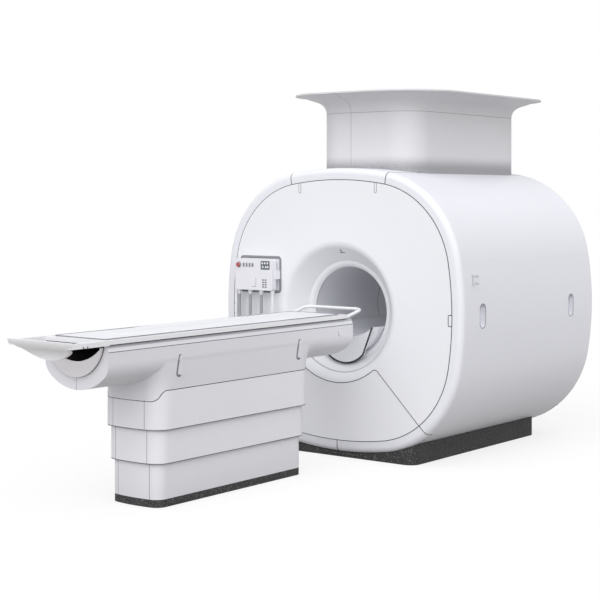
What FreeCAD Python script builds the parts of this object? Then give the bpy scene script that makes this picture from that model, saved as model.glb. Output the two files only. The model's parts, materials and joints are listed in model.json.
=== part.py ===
"""Whole-body magnetic resonance scanner with its lifting patient table.

Millimetres. The origin is on the floor under the centre of the bore. +Z is up, and
+Y runs from the patient's table through the bore to the back of the magnet.

Every driving size is a cell of the sheet. A Size carries the number together with
the sheet formula that it comes from, so each feature is bound to the sheet.
"""

import FreeCAD, Part
import Sketcher
import math
import os
from FreeCAD import Vector

doc = FreeCAD.newDocument("Scanner")
sheet = doc.addObject("Spreadsheet::Sheet", "Sizes")

SIZES = {
    # Outer covers: an oval of eight arcs, drawn out along the bore
    "floor_gap": 35,
    "gantry_half_width": 1000,
    "gantry_half_height": 968,
    "side_arc_radius": 2200,
    "crown_arc_radius": 2500,
    "corner_arc_radius": 700,
    "gantry_half_depth": 925,
    "cover_setback": 2,
    "cover_wall": 12,
    "cover_edge_radius": 40,
    "lip_width": 80,
    "lip_depth": 70,
    "seam": 0.8,
    "top_cover_half_width": 450,
    # Front and rear panels with their funnels
    "panel_wall": 14,
    "bore_height": 990,
    "bore_radius": 300,
    "bore_wall": 9,
    "funnel_radius": 484,
    "funnel_lip_radius": 342,
    "funnel_depth": 165,
    "funnel_bend": 46,
    "funnel_bend_depth": 22,
    "funnel_bend_radius": 62,
    "funnel_lip": 30,
    "funnel_curl": 48,
    "split_corner_across": 310,
    "split_corner_height": 630,
    "split_corner_radius": 32,
    "tab_across": 320,
    "tab_width": 17,
    "tab_length": 82,
    "latch_height": 973,
    "latch_width": 27,
    "latch_length": 72,
    "latch_corner": 8,
    "inlay_gap": 0.5,
    # Bridge along the bottom of the bore
    "bridge_half_width": 235,
    "bridge_drop": 77,
    "bridge_trough_radius": 378,
    "bridge_trough_share": 0.412,
    "bridge_gap": 0.6,
    "bridge_overhang": 40,
    "plate_setback": 88,
    "plate_thickness": 14,
    "plate_foot_half_width": 160,
    "plate_foot_height": 700,
    "plate_foot_radius": 215,
    # Magnet
    "plinth_half_width": 612,
    "plinth_front": -906,
    "plinth_back": 746,
    "plinth_corner_radius": 77,
    "cradle_half_width": 425,
    "cradle_half_length": 640,
    "magnet_radius": 855,
    "magnet_bore_radius": 450,
    "magnet_half_length": 775,
    "magnet_edge_radius": 60,
    "belly_half_width": 550,
    "coil_inner_radius": 352,
    "coil_half_length": 640,
    "birdcage_wall": 16,
    "birdcage_half_length": 260,
    "fit_gap": 0.5,
    "turret_radius": 170,
    "turret_height": 2040,
    "turret_y": 0,
    "vent_radius": 110,
    "vent_y": 330,
    "vent_wall": 5,
    "vent_collar_radius": 118,
    "vent_collar_thickness": 8,
    "vent_spigot_length": 260,
    "cold_head_radius": 70,
    "cold_head_height": 2230,
    # Shroud up to the ceiling
    "shroud_centre": 127,
    "shroud_half_width": 420,
    "shroud_half_length": 745,
    "shroud_corner_radius": 205,
    "shroud_wall": 8,
    "shroud_seam_across": 103,
    "shroud_sink": 80,
    "flare_height": 2365,
    "ceiling_height": 2500,
    "flare_reach": 223,
    "flange_edge": 10,
    # Grips and hooks on the side covers
    "grip_front": -669,
    "grip_back": 562,
    "grip_height": 993,
    "grip_half_length": 79,
    "grip_half_width": 35,
    "grip_depth": 34,
    "grip_wall": 4,
    "grip_flat": 4,
    "hook_y": -775,
    "hook_height": 1235,
    "hook_thickness": 12,
    "hook_reach": 46,
    "hook_width": 24,
    "hook_length": 70,
    "hook_peg_radius": 6,
    # Control box beside the bore
    "control_left": -840,
    "control_right": -505,
    "control_bottom": 1115,
    "control_top": 1335,
    "control_standoff": 34,
    "control_depth": 46,
    "control_corner": 16,
    "stop_radius": 14,
    "stop_travel": 5,
    "stop_stem_radius": 8,
    "stop_cap_height": 10,
    "stop_inset": 32,
    "face_thickness": 4,
    "screen_inset": 62,
    "screen_half_width": 40,
    "screen_half_height": 30,
    "key_width": 11,
    "key_length": 26,
    "key_pitch": 27,
    "key_drop": 43,
    "key_proud": 1.5,
    "key_root": 8,
    "first_key_inset": 78,
    "key_travel": 3,
    "key_gap": 0.4,
    "conduit_radius": 10,
    "conduit_foot": 760,
    "first_conduit_inset": 15,
    "conduit_pitch": 101,
    "shelf_thickness": 16,
    "bracket_arm": 12,
    "bracket_rise": 60,
    # Table pedestal: three telescopic skirts on a plinth
    "table_centre": -2223,
    "table_half_width": 192,
    "table_half_length": 682,
    "table_corner_radius": 67,
    "table_end_radius": 875,
    "tier_step": 21,
    "tier_wall": 6,
    "table_plinth_height": 45,
    "lower_tier_top": 298,
    "middle_tier_bottom": 250,
    "middle_tier_top": 530,
    "upper_tier_bottom": 446,
    "neck_height": 34,
    "nose_dip": 62,
    "nose_step": 40,
    "nose_panel_half_width": 125,
    # Lifting columns
    "column_spread": 330,
    "column_half_width": 65,
    "column_wall": 8,
    "column_outer_top": 335,
    "column_middle_bottom": 245,
    "column_inner_bottom": 435,
    "tie_thickness": 8,
    # Beam
    "beam_foot": -3345,
    "beam_head": -1085,
    "beam_half_width": 250,
    "beam_rim_drop": 35,
    "beam_top_half_width": 236,
    "beam_corner_radius": 100,
    "beam_belly_radius": 336,
    "beam_depth": 258,
    "beam_seam": 0.6,
    "neck_flare": 100,
    "neck_overlap": 20,
    "neck_play": 1,
    "neck_clearance": 4,
    "frame_inset": 90,
    "frame_half_width": 138,
    "frame_drop": 214,
    "frame_thickness": 12,
    "trough_radius": 222,
    "trough_rise": 36,
    "trough_wall": 14,
    "trough_overhang": 18,
    "trough_drop": 12,
    "trough_end_wall": 12,
    "trough_mouth_radius": 300,
    "trough_mouth_drop": 134,
    "fin_head": -1655,
    "fin_foot": -2768,
    "fin_drop": 98,
    "fin_length": 113,
    "fin_width": 22,
    "fin_height": 12,
    "fin_root": 24,
    # Tabletop
    "top_half_width": 250,
    "top_height": 995,
    "top_thickness": 28.6,
    "top_foot": -3370,
    "top_head": -1125,
    "top_corner_radius": 40,
    "rim_width": 32,
    "recess_depth": 16,
    "keel_half_width": 96,
    "keel_clearance": 3,
    "keel_inset": 420,
    "glide_gap": 0.4,
    "glide_across": 62,
    "glide_width": 26,
    "glide_foot_inset": 60,
    "glide_head_inset": 20,
    "pad_gap": 14,
    "pad_thickness": 24,
    "pad_edge": 10,
    "pad_crown": 5,
    "handle_end": -3625,
    "handle_bar": 26,
    "handle_rise": 5,
    "handle_dip": 55,
    "handle_depth": 55,
    "handle_end_width": 36,
    "handle_band": 30,
    "handle_knee": 10,
    "handle_sweep_back": 78,
    "handle_sweep": 70,
    "bow_reach": 171,
    "bow_tilt": 13,
    "bow_radius": 11,
    "bow_grip": 40,
    "bow_corner_radius": 46,
}

for row, (alias, number) in enumerate(SIZES.items(), start=1):
    sheet.set(f"A{row}", alias.replace("_", " "))
    sheet.set(f"B{row}", str(number))
    sheet.setAlias(f"B{row}", alias)
doc.recompute()


# ---------------------------------------------------------------- numbers with formulas
class Size:
    """A number that carries the sheet formula it was worked out by."""

    def __init__(self, value, formula=None):
        self.value = float(value)
        self.formula = f"({value:g})" if formula is None else formula

    @staticmethod
    def of(other):
        return other if isinstance(other, Size) else Size(other)

    def __add__(self, other):
        other = Size.of(other)
        return Size(self.value + other.value, f"({self.formula} + {other.formula})")

    def __sub__(self, other):
        other = Size.of(other)
        return Size(self.value - other.value, f"({self.formula} - {other.formula})")

    def __mul__(self, other):
        other = Size.of(other)
        return Size(self.value * other.value, f"({self.formula} * {other.formula})")

    def __truediv__(self, other):
        other = Size.of(other)
        return Size(self.value / other.value, f"({self.formula} / {other.formula})")

    __radd__ = __add__

    def __rsub__(self, other):
        return Size.of(other) - self

    __rmul__ = __mul__

    def __neg__(self):
        return Size(-self.value, f"(-1 * {self.formula})")

    def __float__(self):
        return self.value


def root(size):
    return Size(math.sqrt(size.value), f"sqrt({size.formula})")


def half_chord(radius, rise):
    """Half the chord of a circle at a distance rise from its centre."""
    return root(radius * radius - rise * rise)


class Sheet:
    """The sheet's cells, read by name as sizes."""

    def __getattr__(self, alias):
        return Size(getattr(sheet, alias), f"Sizes.{alias}")


S = Sheet()
ZERO = Size(0)


def bind(item, prop, size):
    """Bind one property to a size's formula, or set it where the size is a bare number."""
    item.setExpression(prop, Size.of(size).formula)


# ---------------------------------------------------------------- sketches
def new_body(label):
    body = doc.addObject("PartDesign::Body", f"{label}_body")
    body.Label = label
    return body


def new_sketch(body, role, level=ZERO, across=ZERO, up=ZERO):
    """A sketch on one of the body's own planes, moved by level along its normal, and by
    across and up in its own plane."""
    sketch = body.newObject("Sketcher::SketchObject", f"{body.Name}_sketch")
    plane = next(f for f in body.Origin.OriginFeatures if f.Role == role)
    sketch.AttachmentSupport = [(plane, "")]
    sketch.MapMode = "FlatFace"
    for axis, size in (("x", across), ("y", up), ("z", level)):
        bind(sketch, f"AttachmentOffset.Base.{axis}", size)
    return sketch


def pin_point(sketch, item, point, across, up):
    """Fix one point of an item from the sketch's origin."""
    first = sketch.addConstraint(
        Sketcher.Constraint("DistanceX", -1, 1, item, point, float(across))
    )
    second = sketch.addConstraint(
        Sketcher.Constraint("DistanceY", -1, 1, item, point, float(up))
    )
    sketch.setExpression(f"Constraints[{first}]", Size.of(across).formula)
    sketch.setExpression(f"Constraints[{second}]", Size.of(up).formula)


def set_radius(sketch, item, radius):
    index = sketch.addConstraint(Sketcher.Constraint("Radius", item, float(radius)))
    sketch.setExpression(f"Constraints[{index}]", Size.of(radius).formula)


def circle(sketch, radius, across=ZERO, up=ZERO):
    item = sketch.addGeometry(
        Part.Circle(Vector(float(across), float(up), 0), Vector(0, 0, 1), float(radius))
    )
    set_radius(sketch, item, radius)
    pin_point(sketch, item, 3, across, up)


def chain(sketch, points, arcs=None, closed=True):
    """A chain of sides through the points, closed or open. arcs maps the number of a side
    to its radius, which is positive where the side bulges to the left of its run."""
    arcs = arcs or {}
    spots = [Vector(float(x), float(y), 0) for x, y in points]
    sides = len(spots) if closed else len(spots) - 1
    for i in range(sides):
        start, end = spots[i], spots[(i + 1) % len(spots)]
        if i not in arcs:
            sketch.addGeometry(Part.LineSegment(start, end))
            continue
        radius = float(arcs[i])
        middle, run = (start + end) * 0.5, end - start
        left = Vector(-run.y, run.x, 0).normalize() * math.copysign(1, radius)
        rise = abs(radius) - math.sqrt(radius**2 - (run.Length / 2) ** 2)
        first, last = (end, start) if radius > 0 else (start, end)
        sketch.addGeometry(Part.ArcOfCircle(first, middle + left * rise, last))
    starts = [1 if is_forward(sketch, i, spots[i]) else 2 for i in range(sides)]
    for i in range(sides):
        pin_point(sketch, i, starts[i], *points[i])
        if i + 1 < sides or closed:
            after = (i + 1) % sides
            sketch.addConstraint(
                Sketcher.Constraint("Coincident", i, 3 - starts[i], after, starts[after])
            )
        else:
            pin_point(sketch, i, 3 - starts[i], *points[i + 1])
        if i in arcs:
            size = Size.of(arcs[i])
            set_radius(sketch, i, size if size.value > 0 else -size)


def is_forward(sketch, item, spot):
    """Whether an item starts at the spot: arcs run anticlockwise, whichever way the chain
    goes."""
    geometry = sketch.Geometry[item]
    return (geometry.StartPoint - spot).Length < (geometry.EndPoint - spot).Length


def smooth_outline(sketch, half_x, half_y, corner, side_radius=None, end_radius=None):
    """A rounded box about the sketch's origin, whose sides and ends are straight, or
    bowed by a large arc, and whose corner arcs touch both."""
    a, b, r = float(half_x), float(half_y), float(corner)
    if side_radius is None:
        centre_x = a - r
    if side_radius is None and end_radius is None:
        centre_y = b - r
    elif side_radius is None:
        deep = float(end_radius)
        centre_y = b - deep + math.sqrt((deep - r) ** 2 - centre_x**2)
    else:
        wide, deep = float(side_radius), float(end_radius)
        centre_x, centre_y = meet(a - wide, wide - r, b - deep, deep - r)
    side = Vector(a, centre_y, 0)
    if side_radius is not None:
        out = Vector(centre_x - (a - wide), centre_y, 0).normalize()
        side = Vector(a - wide, 0, 0) + out * wide
    crown = Vector(centre_x, b, 0)
    if end_radius is not None:
        out = Vector(centre_x, centre_y - (b - deep), 0).normalize()
        crown = Vector(0, b - deep, 0) + out * deep
    middle = Vector(centre_x, centre_y, 0)
    middle += (side + crown - middle * 2).normalize() * r

    def at(point, sx, sy):
        return Vector(point.x * sx, point.y * sy, 0)

    def span(start, through, end):
        return Part.ArcOfCircle(start, through, end)

    def straight(start, through, end):
        return Part.LineSegment(start, end)

    side_kind = straight if side_radius is None else span
    end_kind = straight if end_radius is None else span
    pieces = [
        side_kind(at(side, 1, -1), Vector(a, 0, 0), side),
        span(side, middle, crown),
        end_kind(crown, Vector(0, b, 0), at(crown, -1, 1)),
        span(at(crown, -1, 1), at(middle, -1, 1), at(side, -1, 1)),
        side_kind(at(side, -1, 1), Vector(-a, 0, 0), at(side, -1, -1)),
        span(at(side, -1, -1), at(middle, -1, -1), at(crown, -1, -1)),
        end_kind(at(crown, -1, -1), Vector(0, -b, 0), at(crown, 1, -1)),
        span(at(crown, 1, -1), at(middle, 1, -1), at(side, 1, -1)),
    ]
    first = sketch.GeometryCount
    for piece in pieces:
        sketch.addGeometry(piece)
    for i in range(8):
        sketch.addConstraint(
            Sketcher.Constraint("Tangent", first + i, 2, first + (i + 1) % 8, 1)
        )
    for i in (1, 3, 5, 7):
        set_radius(sketch, first + i, corner)
    for i, sign in ((0, 1), (4, -1)):
        if side_radius is None:
            fix_line(sketch, first + i, "DistanceX", half_x * sign)
        else:
            pin_point(sketch, first + i, 3, (half_x - side_radius) * sign, ZERO)
            set_radius(sketch, first + i, side_radius)
    for i, sign in ((2, 1), (6, -1)):
        if end_radius is None:
            fix_line(sketch, first + i, "DistanceY", half_y * sign)
        else:
            pin_point(sketch, first + i, 3, ZERO, (half_y - end_radius) * sign)
            set_radius(sketch, first + i, end_radius)


def fix_line(sketch, item, kind, size):
    """Hold a straight side upright or level at its distance from the origin."""
    lie = "Vertical" if kind == "DistanceX" else "Horizontal"
    sketch.addConstraint(Sketcher.Constraint(lie, item))
    index = sketch.addConstraint(
        Sketcher.Constraint(kind, -1, 1, item, 1, float(size))
    )
    sketch.setExpression(f"Constraints[{index}]", size.formula)


def meet(side_x, side_reach, crown_y, crown_reach):
    """Where the circle about (side_x, 0) meets the circle about (0, crown_y)."""
    low, high = 0.0, side_reach + side_x
    for _ in range(60):
        x = (low + high) / 2
        y = math.sqrt(max(side_reach**2 - (x - side_x) ** 2, 0))
        if math.hypot(x, y - crown_y) > crown_reach:
            low = x
        else:
            high = x
    return x, y


# ---------------------------------------------------------------- features
def pad(body, sketch, length, reverse=False):
    feature = body.newObject("PartDesign::Pad", f"{body.Name}_pad")
    feature.Profile = sketch
    bind(feature, "Length", length)
    feature.Reversed = reverse
    doc.recompute()
    return feature


def pocket(body, sketch, length=None, reverse=False):
    feature = body.newObject("PartDesign::Pocket", f"{body.Name}_pocket")
    feature.Profile = sketch
    if length is None:
        feature.Type = "ThroughAll"
        feature.Midplane = True
    else:
        bind(feature, "Length", length)
    feature.Reversed = reverse
    doc.recompute()
    return feature


def revolve(body, sketch, axis="H_Axis", groove=False):
    kind = "Groove" if groove else "Revolution"
    feature = body.newObject(f"PartDesign::{kind}", f"{body.Name}_{kind.lower()}")
    feature.Profile = sketch
    feature.ReferenceAxis = (sketch, [axis])
    feature.Angle = 360
    doc.recompute()
    return feature


def fillet(body, base, radius, wanted):
    """Round the edges of a feature for which wanted(edge) holds."""
    names = [
        f"Edge{i}" for i, edge in enumerate(base.Shape.Edges, start=1) if wanted(edge)
    ]
    feature = body.newObject("PartDesign::Fillet", f"{body.Name}_fillet")
    feature.Base = (base, names)
    bind(feature, "Radius", radius)
    doc.recompute()
    return feature


def along_bore(label, start, end, draw, up=ZERO, across=ZERO):
    """A body whose outline, drawn facing the front, runs along Y from start to end."""
    body = new_body(label)
    sketch = new_sketch(body, "XZ_Plane", -start, across, up)
    draw(sketch)
    pad(body, sketch, end - start, reverse=True)
    return body


def upward(label, start, end, draw, along=ZERO, across=ZERO):
    """A body whose outline, drawn in plan, runs upward from start to end."""
    body = new_body(label)
    sketch = new_sketch(body, "XY_Plane", start, across, along)
    draw(sketch)
    pad(body, sketch, end - start)
    return body


def sideways(label, start, end, draw, up=ZERO):
    """A body whose outline, drawn in side view, runs along X from start to end."""
    body = new_body(label)
    sketch = new_sketch(body, "YZ_Plane", start, ZERO, up)
    draw(sketch)
    pad(body, sketch, end - start)
    return body


def block(label, x0, x1, y0, y1, z0, z1):
    item = doc.addObject("Part::Box", label)
    item.Label = label
    bind(item, "Length", x1 - x0)
    bind(item, "Width", y1 - y0)
    bind(item, "Height", z1 - z0)
    for axis, size in (("x", x0), ("y", y0), ("z", z0)):
        bind(item, f"Placement.Base.{axis}", size)
    return item


def rod(label, radius, y0, y1, x, z):
    """A cylinder along Y."""
    item = doc.addObject("Part::Cylinder", label)
    item.Label = label
    item.Placement.Rotation = FreeCAD.Rotation(Vector(1, 0, 0), -90)
    bind(item, "Radius", radius)
    bind(item, "Height", y1 - y0)
    for axis, size in (("x", x), ("y", y0), ("z", z)):
        bind(item, f"Placement.Base.{axis}", size)
    return item


def post(label, radius, x, y, z0, z1):
    """A cylinder along Z."""
    item = doc.addObject("Part::Cylinder", label)
    item.Label = label
    bind(item, "Radius", radius)
    bind(item, "Height", z1 - z0)
    for axis, size in (("x", x), ("y", y), ("z", z0)):
        bind(item, f"Placement.Base.{axis}", size)
    return item


def cut(label, base, tool):
    item = doc.addObject("Part::Cut", label)
    item.Label = label
    item.Base, item.Tool = base, tool
    return item


def fuse(label, *pieces):
    item = doc.addObject("Part::MultiFuse", label)
    item.Label = label
    item.Shapes = list(pieces)
    return item


def common(label, *pieces):
    item = doc.addObject("Part::MultiCommon", label)
    item.Label = label
    item.Shapes = list(pieces)
    return item


def mirror(label, source, axis):
    item = doc.addObject("Part::Mirroring", label)
    item.Label = label
    item.Source = source
    item.Normal = axis
    return item


nodes = {}


def node(name, item):
    """Hand a finished sub-part in under its name."""
    nodes[name] = item
    return item


ACROSS, ALONG = Vector(1, 0, 0), Vector(0, 1, 0)
FRONT, BACK = -S.gantry_half_depth, S.gantry_half_depth
BEYOND = Size(4000)
PAST = Size(50)
UNDER = Size(-400)
oval_centre = S.floor_gap + S.gantry_half_height

# Heights that hang on the tabletop's: the beam with all it carries, and the bridge
top_low = S.top_height - S.top_thickness
beam_top = top_low - S.glide_gap
beam_shoulder = beam_top - S.beam_rim_drop
beam_belly = beam_top - S.beam_depth
frame_bottom = beam_top - S.frame_drop
trough_level = beam_top + S.trough_rise
upper_tier_top = beam_belly - S.neck_height
bridge_edge = beam_top - S.bridge_drop
bridge_depth = bridge_edge - (S.bore_height - S.bore_radius)
handle_top = S.top_height + S.handle_rise


# ---------------------------------------------------------------- outer covers
def gantry_oval(inset):
    """The gantry's eight-arc outline, drawn inset from the outer skin."""

    def draw(sketch):
        smooth_outline(
            sketch,
            S.gantry_half_width - inset,
            S.gantry_half_height - inset,
            S.corner_arc_radius - inset,
            S.side_arc_radius - inset,
            S.crown_arc_radius - inset,
        )

    return draw


def bore_circle(radius):
    return lambda sketch: circle(sketch, radius)


def hollow(body, start, end, draw, up=ZERO, across=ZERO):
    """Take an outline out of a body along Y, from start to end."""
    sketch = new_sketch(body, "XZ_Plane", -start, across, up)
    draw(sketch)
    pocket(body, sketch, end - start)


def split_zone(label, left, right_line_shift, start, end):
    """Everything under the slanting split line, from x = left out to the right."""
    corner = S.split_corner_across - right_line_shift
    reach = S.split_corner_height - UNDER

    def draw(sketch):
        chain(
            sketch,
            [
                (left, UNDER),
                (corner + reach, UNDER),
                (corner, S.split_corner_height),
                (left, S.split_corner_height),
            ],
        )

    return along_bore(label, start, end, draw)


def flat_at_y(y):
    """Edges that lie in a plane across the bore."""

    def wanted(edge):
        box = edge.BoundBox
        return box.YLength < 0.01 and abs(box.YMin - float(y)) < 0.01

    return wanted


cover_front, cover_back = FRONT + S.cover_setback, BACK - S.cover_setback
covers = along_bore(
    "covers", cover_front, cover_back, gantry_oval(ZERO), up=oval_centre
)
for end in (cover_front, cover_back):
    fillet(covers, covers.Tip, S.cover_edge_radius, flat_at_y(end))
hollow(
    covers,
    cover_front + S.cover_wall,
    cover_back - S.cover_wall,
    gantry_oval(S.cover_wall),
    up=oval_centre,
)
hollow(covers, FRONT - PAST, BACK + PAST, gantry_oval(S.lip_width), up=oval_centre)

# The belly is open over the plinth, behind the front lip and before the rear one
lip_back = FRONT + S.lip_depth
belly = block(
    "belly_opening",
    -S.belly_half_width, S.belly_half_width, lip_back, -lip_back, -BEYOND, oval_centre,
)
open_covers = cut("open_covers", covers, belly)

half_seam = S.seam / 2
top_zone = block(
    "top_zone",
    half_seam - S.top_cover_half_width, S.top_cover_half_width - half_seam,
    -BEYOND, BEYOND, oval_centre, BEYOND,
)


def shroud_outline(growth):
    def draw(sketch):
        smooth_outline(
            sketch,
            S.shroud_half_width + growth,
            S.shroud_half_length + growth,
            S.shroud_corner_radius + growth,
        )

    return draw


shroud_hole = upward(
    "shroud_hole", oval_centre, BEYOND, shroud_outline(S.fit_gap), S.shroud_centre
)
node("top_cover", cut("top_cover", common("top_strip", open_covers, top_zone), shroud_hole))

side_zone = block(
    "side_zone",
    S.top_cover_half_width + half_seam, BEYOND, -BEYOND, BEYOND, -BEYOND, BEYOND,
)
front_split = split_zone("front_split", half_seam, S.seam, -BEYOND, lip_back - S.seam)
front_split_void = split_zone("front_split_void", -half_seam, ZERO, -BEYOND, lip_back)
rear_split_void = mirror("rear_split_void", front_split_void, ALONG)



def grip_outline(growth):
    def draw(sketch):
        smooth_outline(
            sketch,
            S.grip_half_width + growth,
            S.grip_half_length + growth,
            S.grip_half_width + growth - S.grip_flat,
        )

    return draw


def grip(label, along, growth, inner, outer):
    """A long rounded block that lies across the side cover at a grip."""
    body = new_body(label)
    sketch = new_sketch(body, "YZ_Plane", inner, along, S.grip_height)
    grip_outline(growth)(sketch)
    pad(body, sketch, outer - inner)
    return body


side_strip = common("side_strip", open_covers, side_zone)
side_shell = cut(
    "side_shell", cut("side_front", side_strip, front_split_void), rear_split_void
)
skin = along_bore("skin", FRONT, BACK, gantry_oval(ZERO), up=oval_centre)
cups, hollows = [], []
for place, along in (("front", S.grip_front), ("back", S.grip_back)):
    inner = S.gantry_half_width - S.grip_depth
    cups.append(
        grip(f"{place}_cup", along, S.grip_wall, inner - S.grip_wall, S.gantry_half_width)
    )
    hollows.append(
        grip(f"{place}_hollow", along, ZERO, inner, S.gantry_half_width + PAST)
    )
cup_block = common("cup_block", fuse("cup_pair", *cups), skin)
right_side = cut(
    "right_side_cover",
    fuse("side_and_cups", side_shell, cup_block),
    fuse("hollow_pair", *hollows),
)
node("right_side_cover", right_side)
node("left_side_cover", mirror("left_side_cover", right_side, ACROSS))

right_band = common("front_lower_band_right", open_covers, front_split)
node("front_lower_band_right", right_band)
node("front_lower_band_left", mirror("front_lower_band_left", right_band, ACROSS))
rear_half = mirror("rear_band_right", right_band, ALONG)
rear_middle = block(
    "rear_band_joint", -half_seam, half_seam, -lip_back + S.seam, BACK, -BEYOND, oval_centre
)
node(
    "rear_lower_band",
    fuse(
        "rear_lower_band",
        rear_half,
        mirror("rear_band_left", rear_half, ACROSS),
        common("rear_band_middle", open_covers, rear_middle),
    ),
)

# ---------------------------------------------------------------- front and rear panels
panel_back = FRONT + S.panel_wall
panel = along_bore(
    "panel_blank", FRONT, panel_back, gantry_oval(S.lip_width + S.seam), up=oval_centre
)
hollow(
    panel, FRONT - PAST, panel_back + PAST, bore_circle(S.funnel_radius), up=S.bore_height
)
funnel_end = FRONT + S.funnel_depth
lip_start = funnel_end - S.funnel_lip
bend_radius = S.funnel_radius - S.funnel_bend
back_shift = S.panel_wall * 0.8
funnel = new_sketch(panel, "YZ_Plane", ZERO, ZERO, S.bore_height)
chain(
    funnel,
    [
        (FRONT, S.funnel_radius),
        (FRONT + S.funnel_bend_depth, bend_radius),
        (lip_start, S.funnel_lip_radius),
        (funnel_end, S.bore_radius),
        (funnel_end, S.bore_radius + S.panel_wall),
        (lip_start + back_shift, S.funnel_lip_radius + S.panel_wall),
        (panel_back + S.funnel_bend_depth, bend_radius + back_shift),
        (panel_back, S.funnel_radius),
    ],
    {0: -S.funnel_bend_radius, 2: -S.funnel_curl},
)
revolve(panel, funnel)


def lower_zone(label, play):
    """The lower front panel's place: under the funnel and between both split lines.
    With the seam as play it is the space that the upper panel leaves."""
    top = S.split_corner_height
    corner = S.split_corner_across - S.seam + play
    reach = top - UNDER

    def draw(sketch):
        chain(
            sketch,
            [
                (-corner - reach, UNDER),
                (corner + reach, UNDER),
                (corner, top),
                (-corner, top),
            ],
        )

    body = along_bore(label, FRONT - PAST, panel_back + PAST, draw)
    radius = S.funnel_radius + S.seam - play
    start, end = FRONT - PAST * 2, panel_back + PAST * 2
    hollow(body, start, end, bore_circle(radius), up=S.bore_height)

    def at_horn(edge):
        box = edge.BoundBox
        return (
            box.XLength < 0.01
            and box.ZLength < 0.01
            and box.ZMin > float(top - S.split_corner_radius * 2)
        )

    fillet(body, body.Tip, S.split_corner_radius, at_horn)
    return body


def tab_outline(gap):
    """A slot with a round lower end, open at the panel's top edge."""
    half = S.tab_width / 2 + gap
    low = S.gantry_half_height - S.lip_width - S.tab_length

    def draw(sketch):
        chain(
            sketch,
            [
                (-half, low),
                (ZERO, low - half),
                (half, low),
                (half, S.gantry_half_height),
                (-half, S.gantry_half_height),
            ],
            {0: -half, 1: -half},
        )

    return draw


def latch_outline(gap):
    """A notch in the panel's side edge, with two round corners."""
    half = S.latch_length / 2 + gap
    left = S.gantry_half_width - S.lip_width - S.latch_width - gap
    soft = S.latch_corner

    def draw(sketch):
        chain(
            sketch,
            [
                (left, half - soft),
                (left, soft - half),
                (left + soft, -half),
                (S.gantry_half_width, -half),
                (S.gantry_half_width, half),
                (left + soft, half),
            ],
            {1: -soft, 5: -soft},
        )

    return draw


def inlay(label, draw, across, up):
    """The plate's own thickness over an outline."""
    return along_bore(label, FRONT - PAST, panel_back + PAST, draw, up, across)


plate = along_bore(
    "plate", FRONT, panel_back, gantry_oval(S.lip_width + S.seam), up=oval_centre
)
slots = []
for side, sign in (("right", 1), ("left", -1)):
    slot = inlay(f"{side}_tab_slot", tab_outline(S.inlay_gap), S.tab_across * sign, oval_centre)
    filler = inlay(f"{side}_tab_blank", tab_outline(ZERO), S.tab_across * sign, oval_centre)
    slots.append(slot)
    node(f"{side}_tab", common(f"{side}_tab", filler, plate))
notch = inlay("right_notch", latch_outline(S.inlay_gap), ZERO, S.latch_height)
slots += [notch, mirror("left_notch", notch, ACROSS)]
right_latch = common(
    "right_latch", inlay("latch_blank", latch_outline(ZERO), ZERO, S.latch_height), plate
)
node("right_latch", right_latch)
node("left_latch", mirror("left_latch", right_latch, ACROSS))

upper_void = lower_zone("lower_panel_space", S.seam)
node("front_panel", cut("front_panel", panel, fuse("panel_voids", upper_void, *slots)))
node(
    "lower_front_panel",
    common("lower_front_panel", panel, lower_zone("lower_panel_place", ZERO)),
)
node("rear_panel", mirror("rear_panel", panel, ALONG))

# ---------------------------------------------------------------- bore
liner_end = BACK - S.funnel_depth - S.fit_gap
liner = along_bore(
    "bore_liner", -liner_end, liner_end, bore_circle(S.bore_radius + S.bore_wall), S.bore_height
)
hollow(
    liner, -liner_end - PAST, liner_end + PAST, bore_circle(S.bore_radius), S.bore_height
)
node("bore_liner", liner)

bridge_radius = S.bore_radius - S.bridge_gap
edge_drop = S.bore_height - bridge_edge
trough_centre = bridge_edge - bridge_depth * S.bridge_trough_share + S.bridge_trough_radius
plate_front = FRONT + S.plate_setback
plate_back = plate_front + S.plate_thickness


def bridge_section(sketch):
    """The bore's curve underneath, closed level with the bridge's ledges."""
    reach = half_chord(bridge_radius, edge_drop)
    chain(
        sketch,
        [(-reach, bridge_edge), (reach, bridge_edge)],
        {0: -bridge_radius},
    )


bridge = along_bore(
    "bridge_blank", plate_back + S.fit_gap, liner_end + S.bridge_overhang, bridge_section
)
bridge_trough = rod(
    "bridge_trough", S.bridge_trough_radius, -BEYOND, BEYOND, ZERO, trough_centre
)
node("bridge", cut("bridge", bridge, bridge_trough))


def bridge_plate_section(sketch):
    """The bridge's front plate: its sides lean in, and its foot is round."""
    top = bridge_edge
    foot_half, foot = S.plate_foot_half_width, S.plate_foot_height
    chain(
        sketch,
        [
            (-S.bridge_half_width, top),
            (-foot_half, foot),
            (foot_half, foot),
            (S.bridge_half_width, top),
        ],
        {1: -S.plate_foot_radius},
    )


bridge_plate = along_bore(
    "bridge_plate_blank", plate_front, plate_back, bridge_plate_section
)
node("bridge_front_plate", cut("bridge_front_plate", bridge_plate, bridge_trough))

# ---------------------------------------------------------------- magnet
magnet = along_bore(
    "magnet_vessel",
    -S.magnet_half_length, S.magnet_half_length, bore_circle(S.magnet_radius), S.bore_height,
)
for end in (-S.magnet_half_length, S.magnet_half_length):
    fillet(magnet, magnet.Tip, S.magnet_edge_radius, flat_at_y(end))
hollow(
    magnet,
    -S.magnet_half_length - PAST, S.magnet_half_length + PAST,
    bore_circle(S.magnet_bore_radius), S.bore_height,
)
node("magnet_vessel", magnet)


def ring(name, outer, inner, half_length):
    """A tube on the bore's axis."""
    body = along_bore(name, -half_length, half_length, bore_circle(outer), S.bore_height)
    start, end = -half_length - PAST, half_length + PAST
    hollow(body, start, end, bore_circle(inner), S.bore_height)
    return node(name, body)


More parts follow.
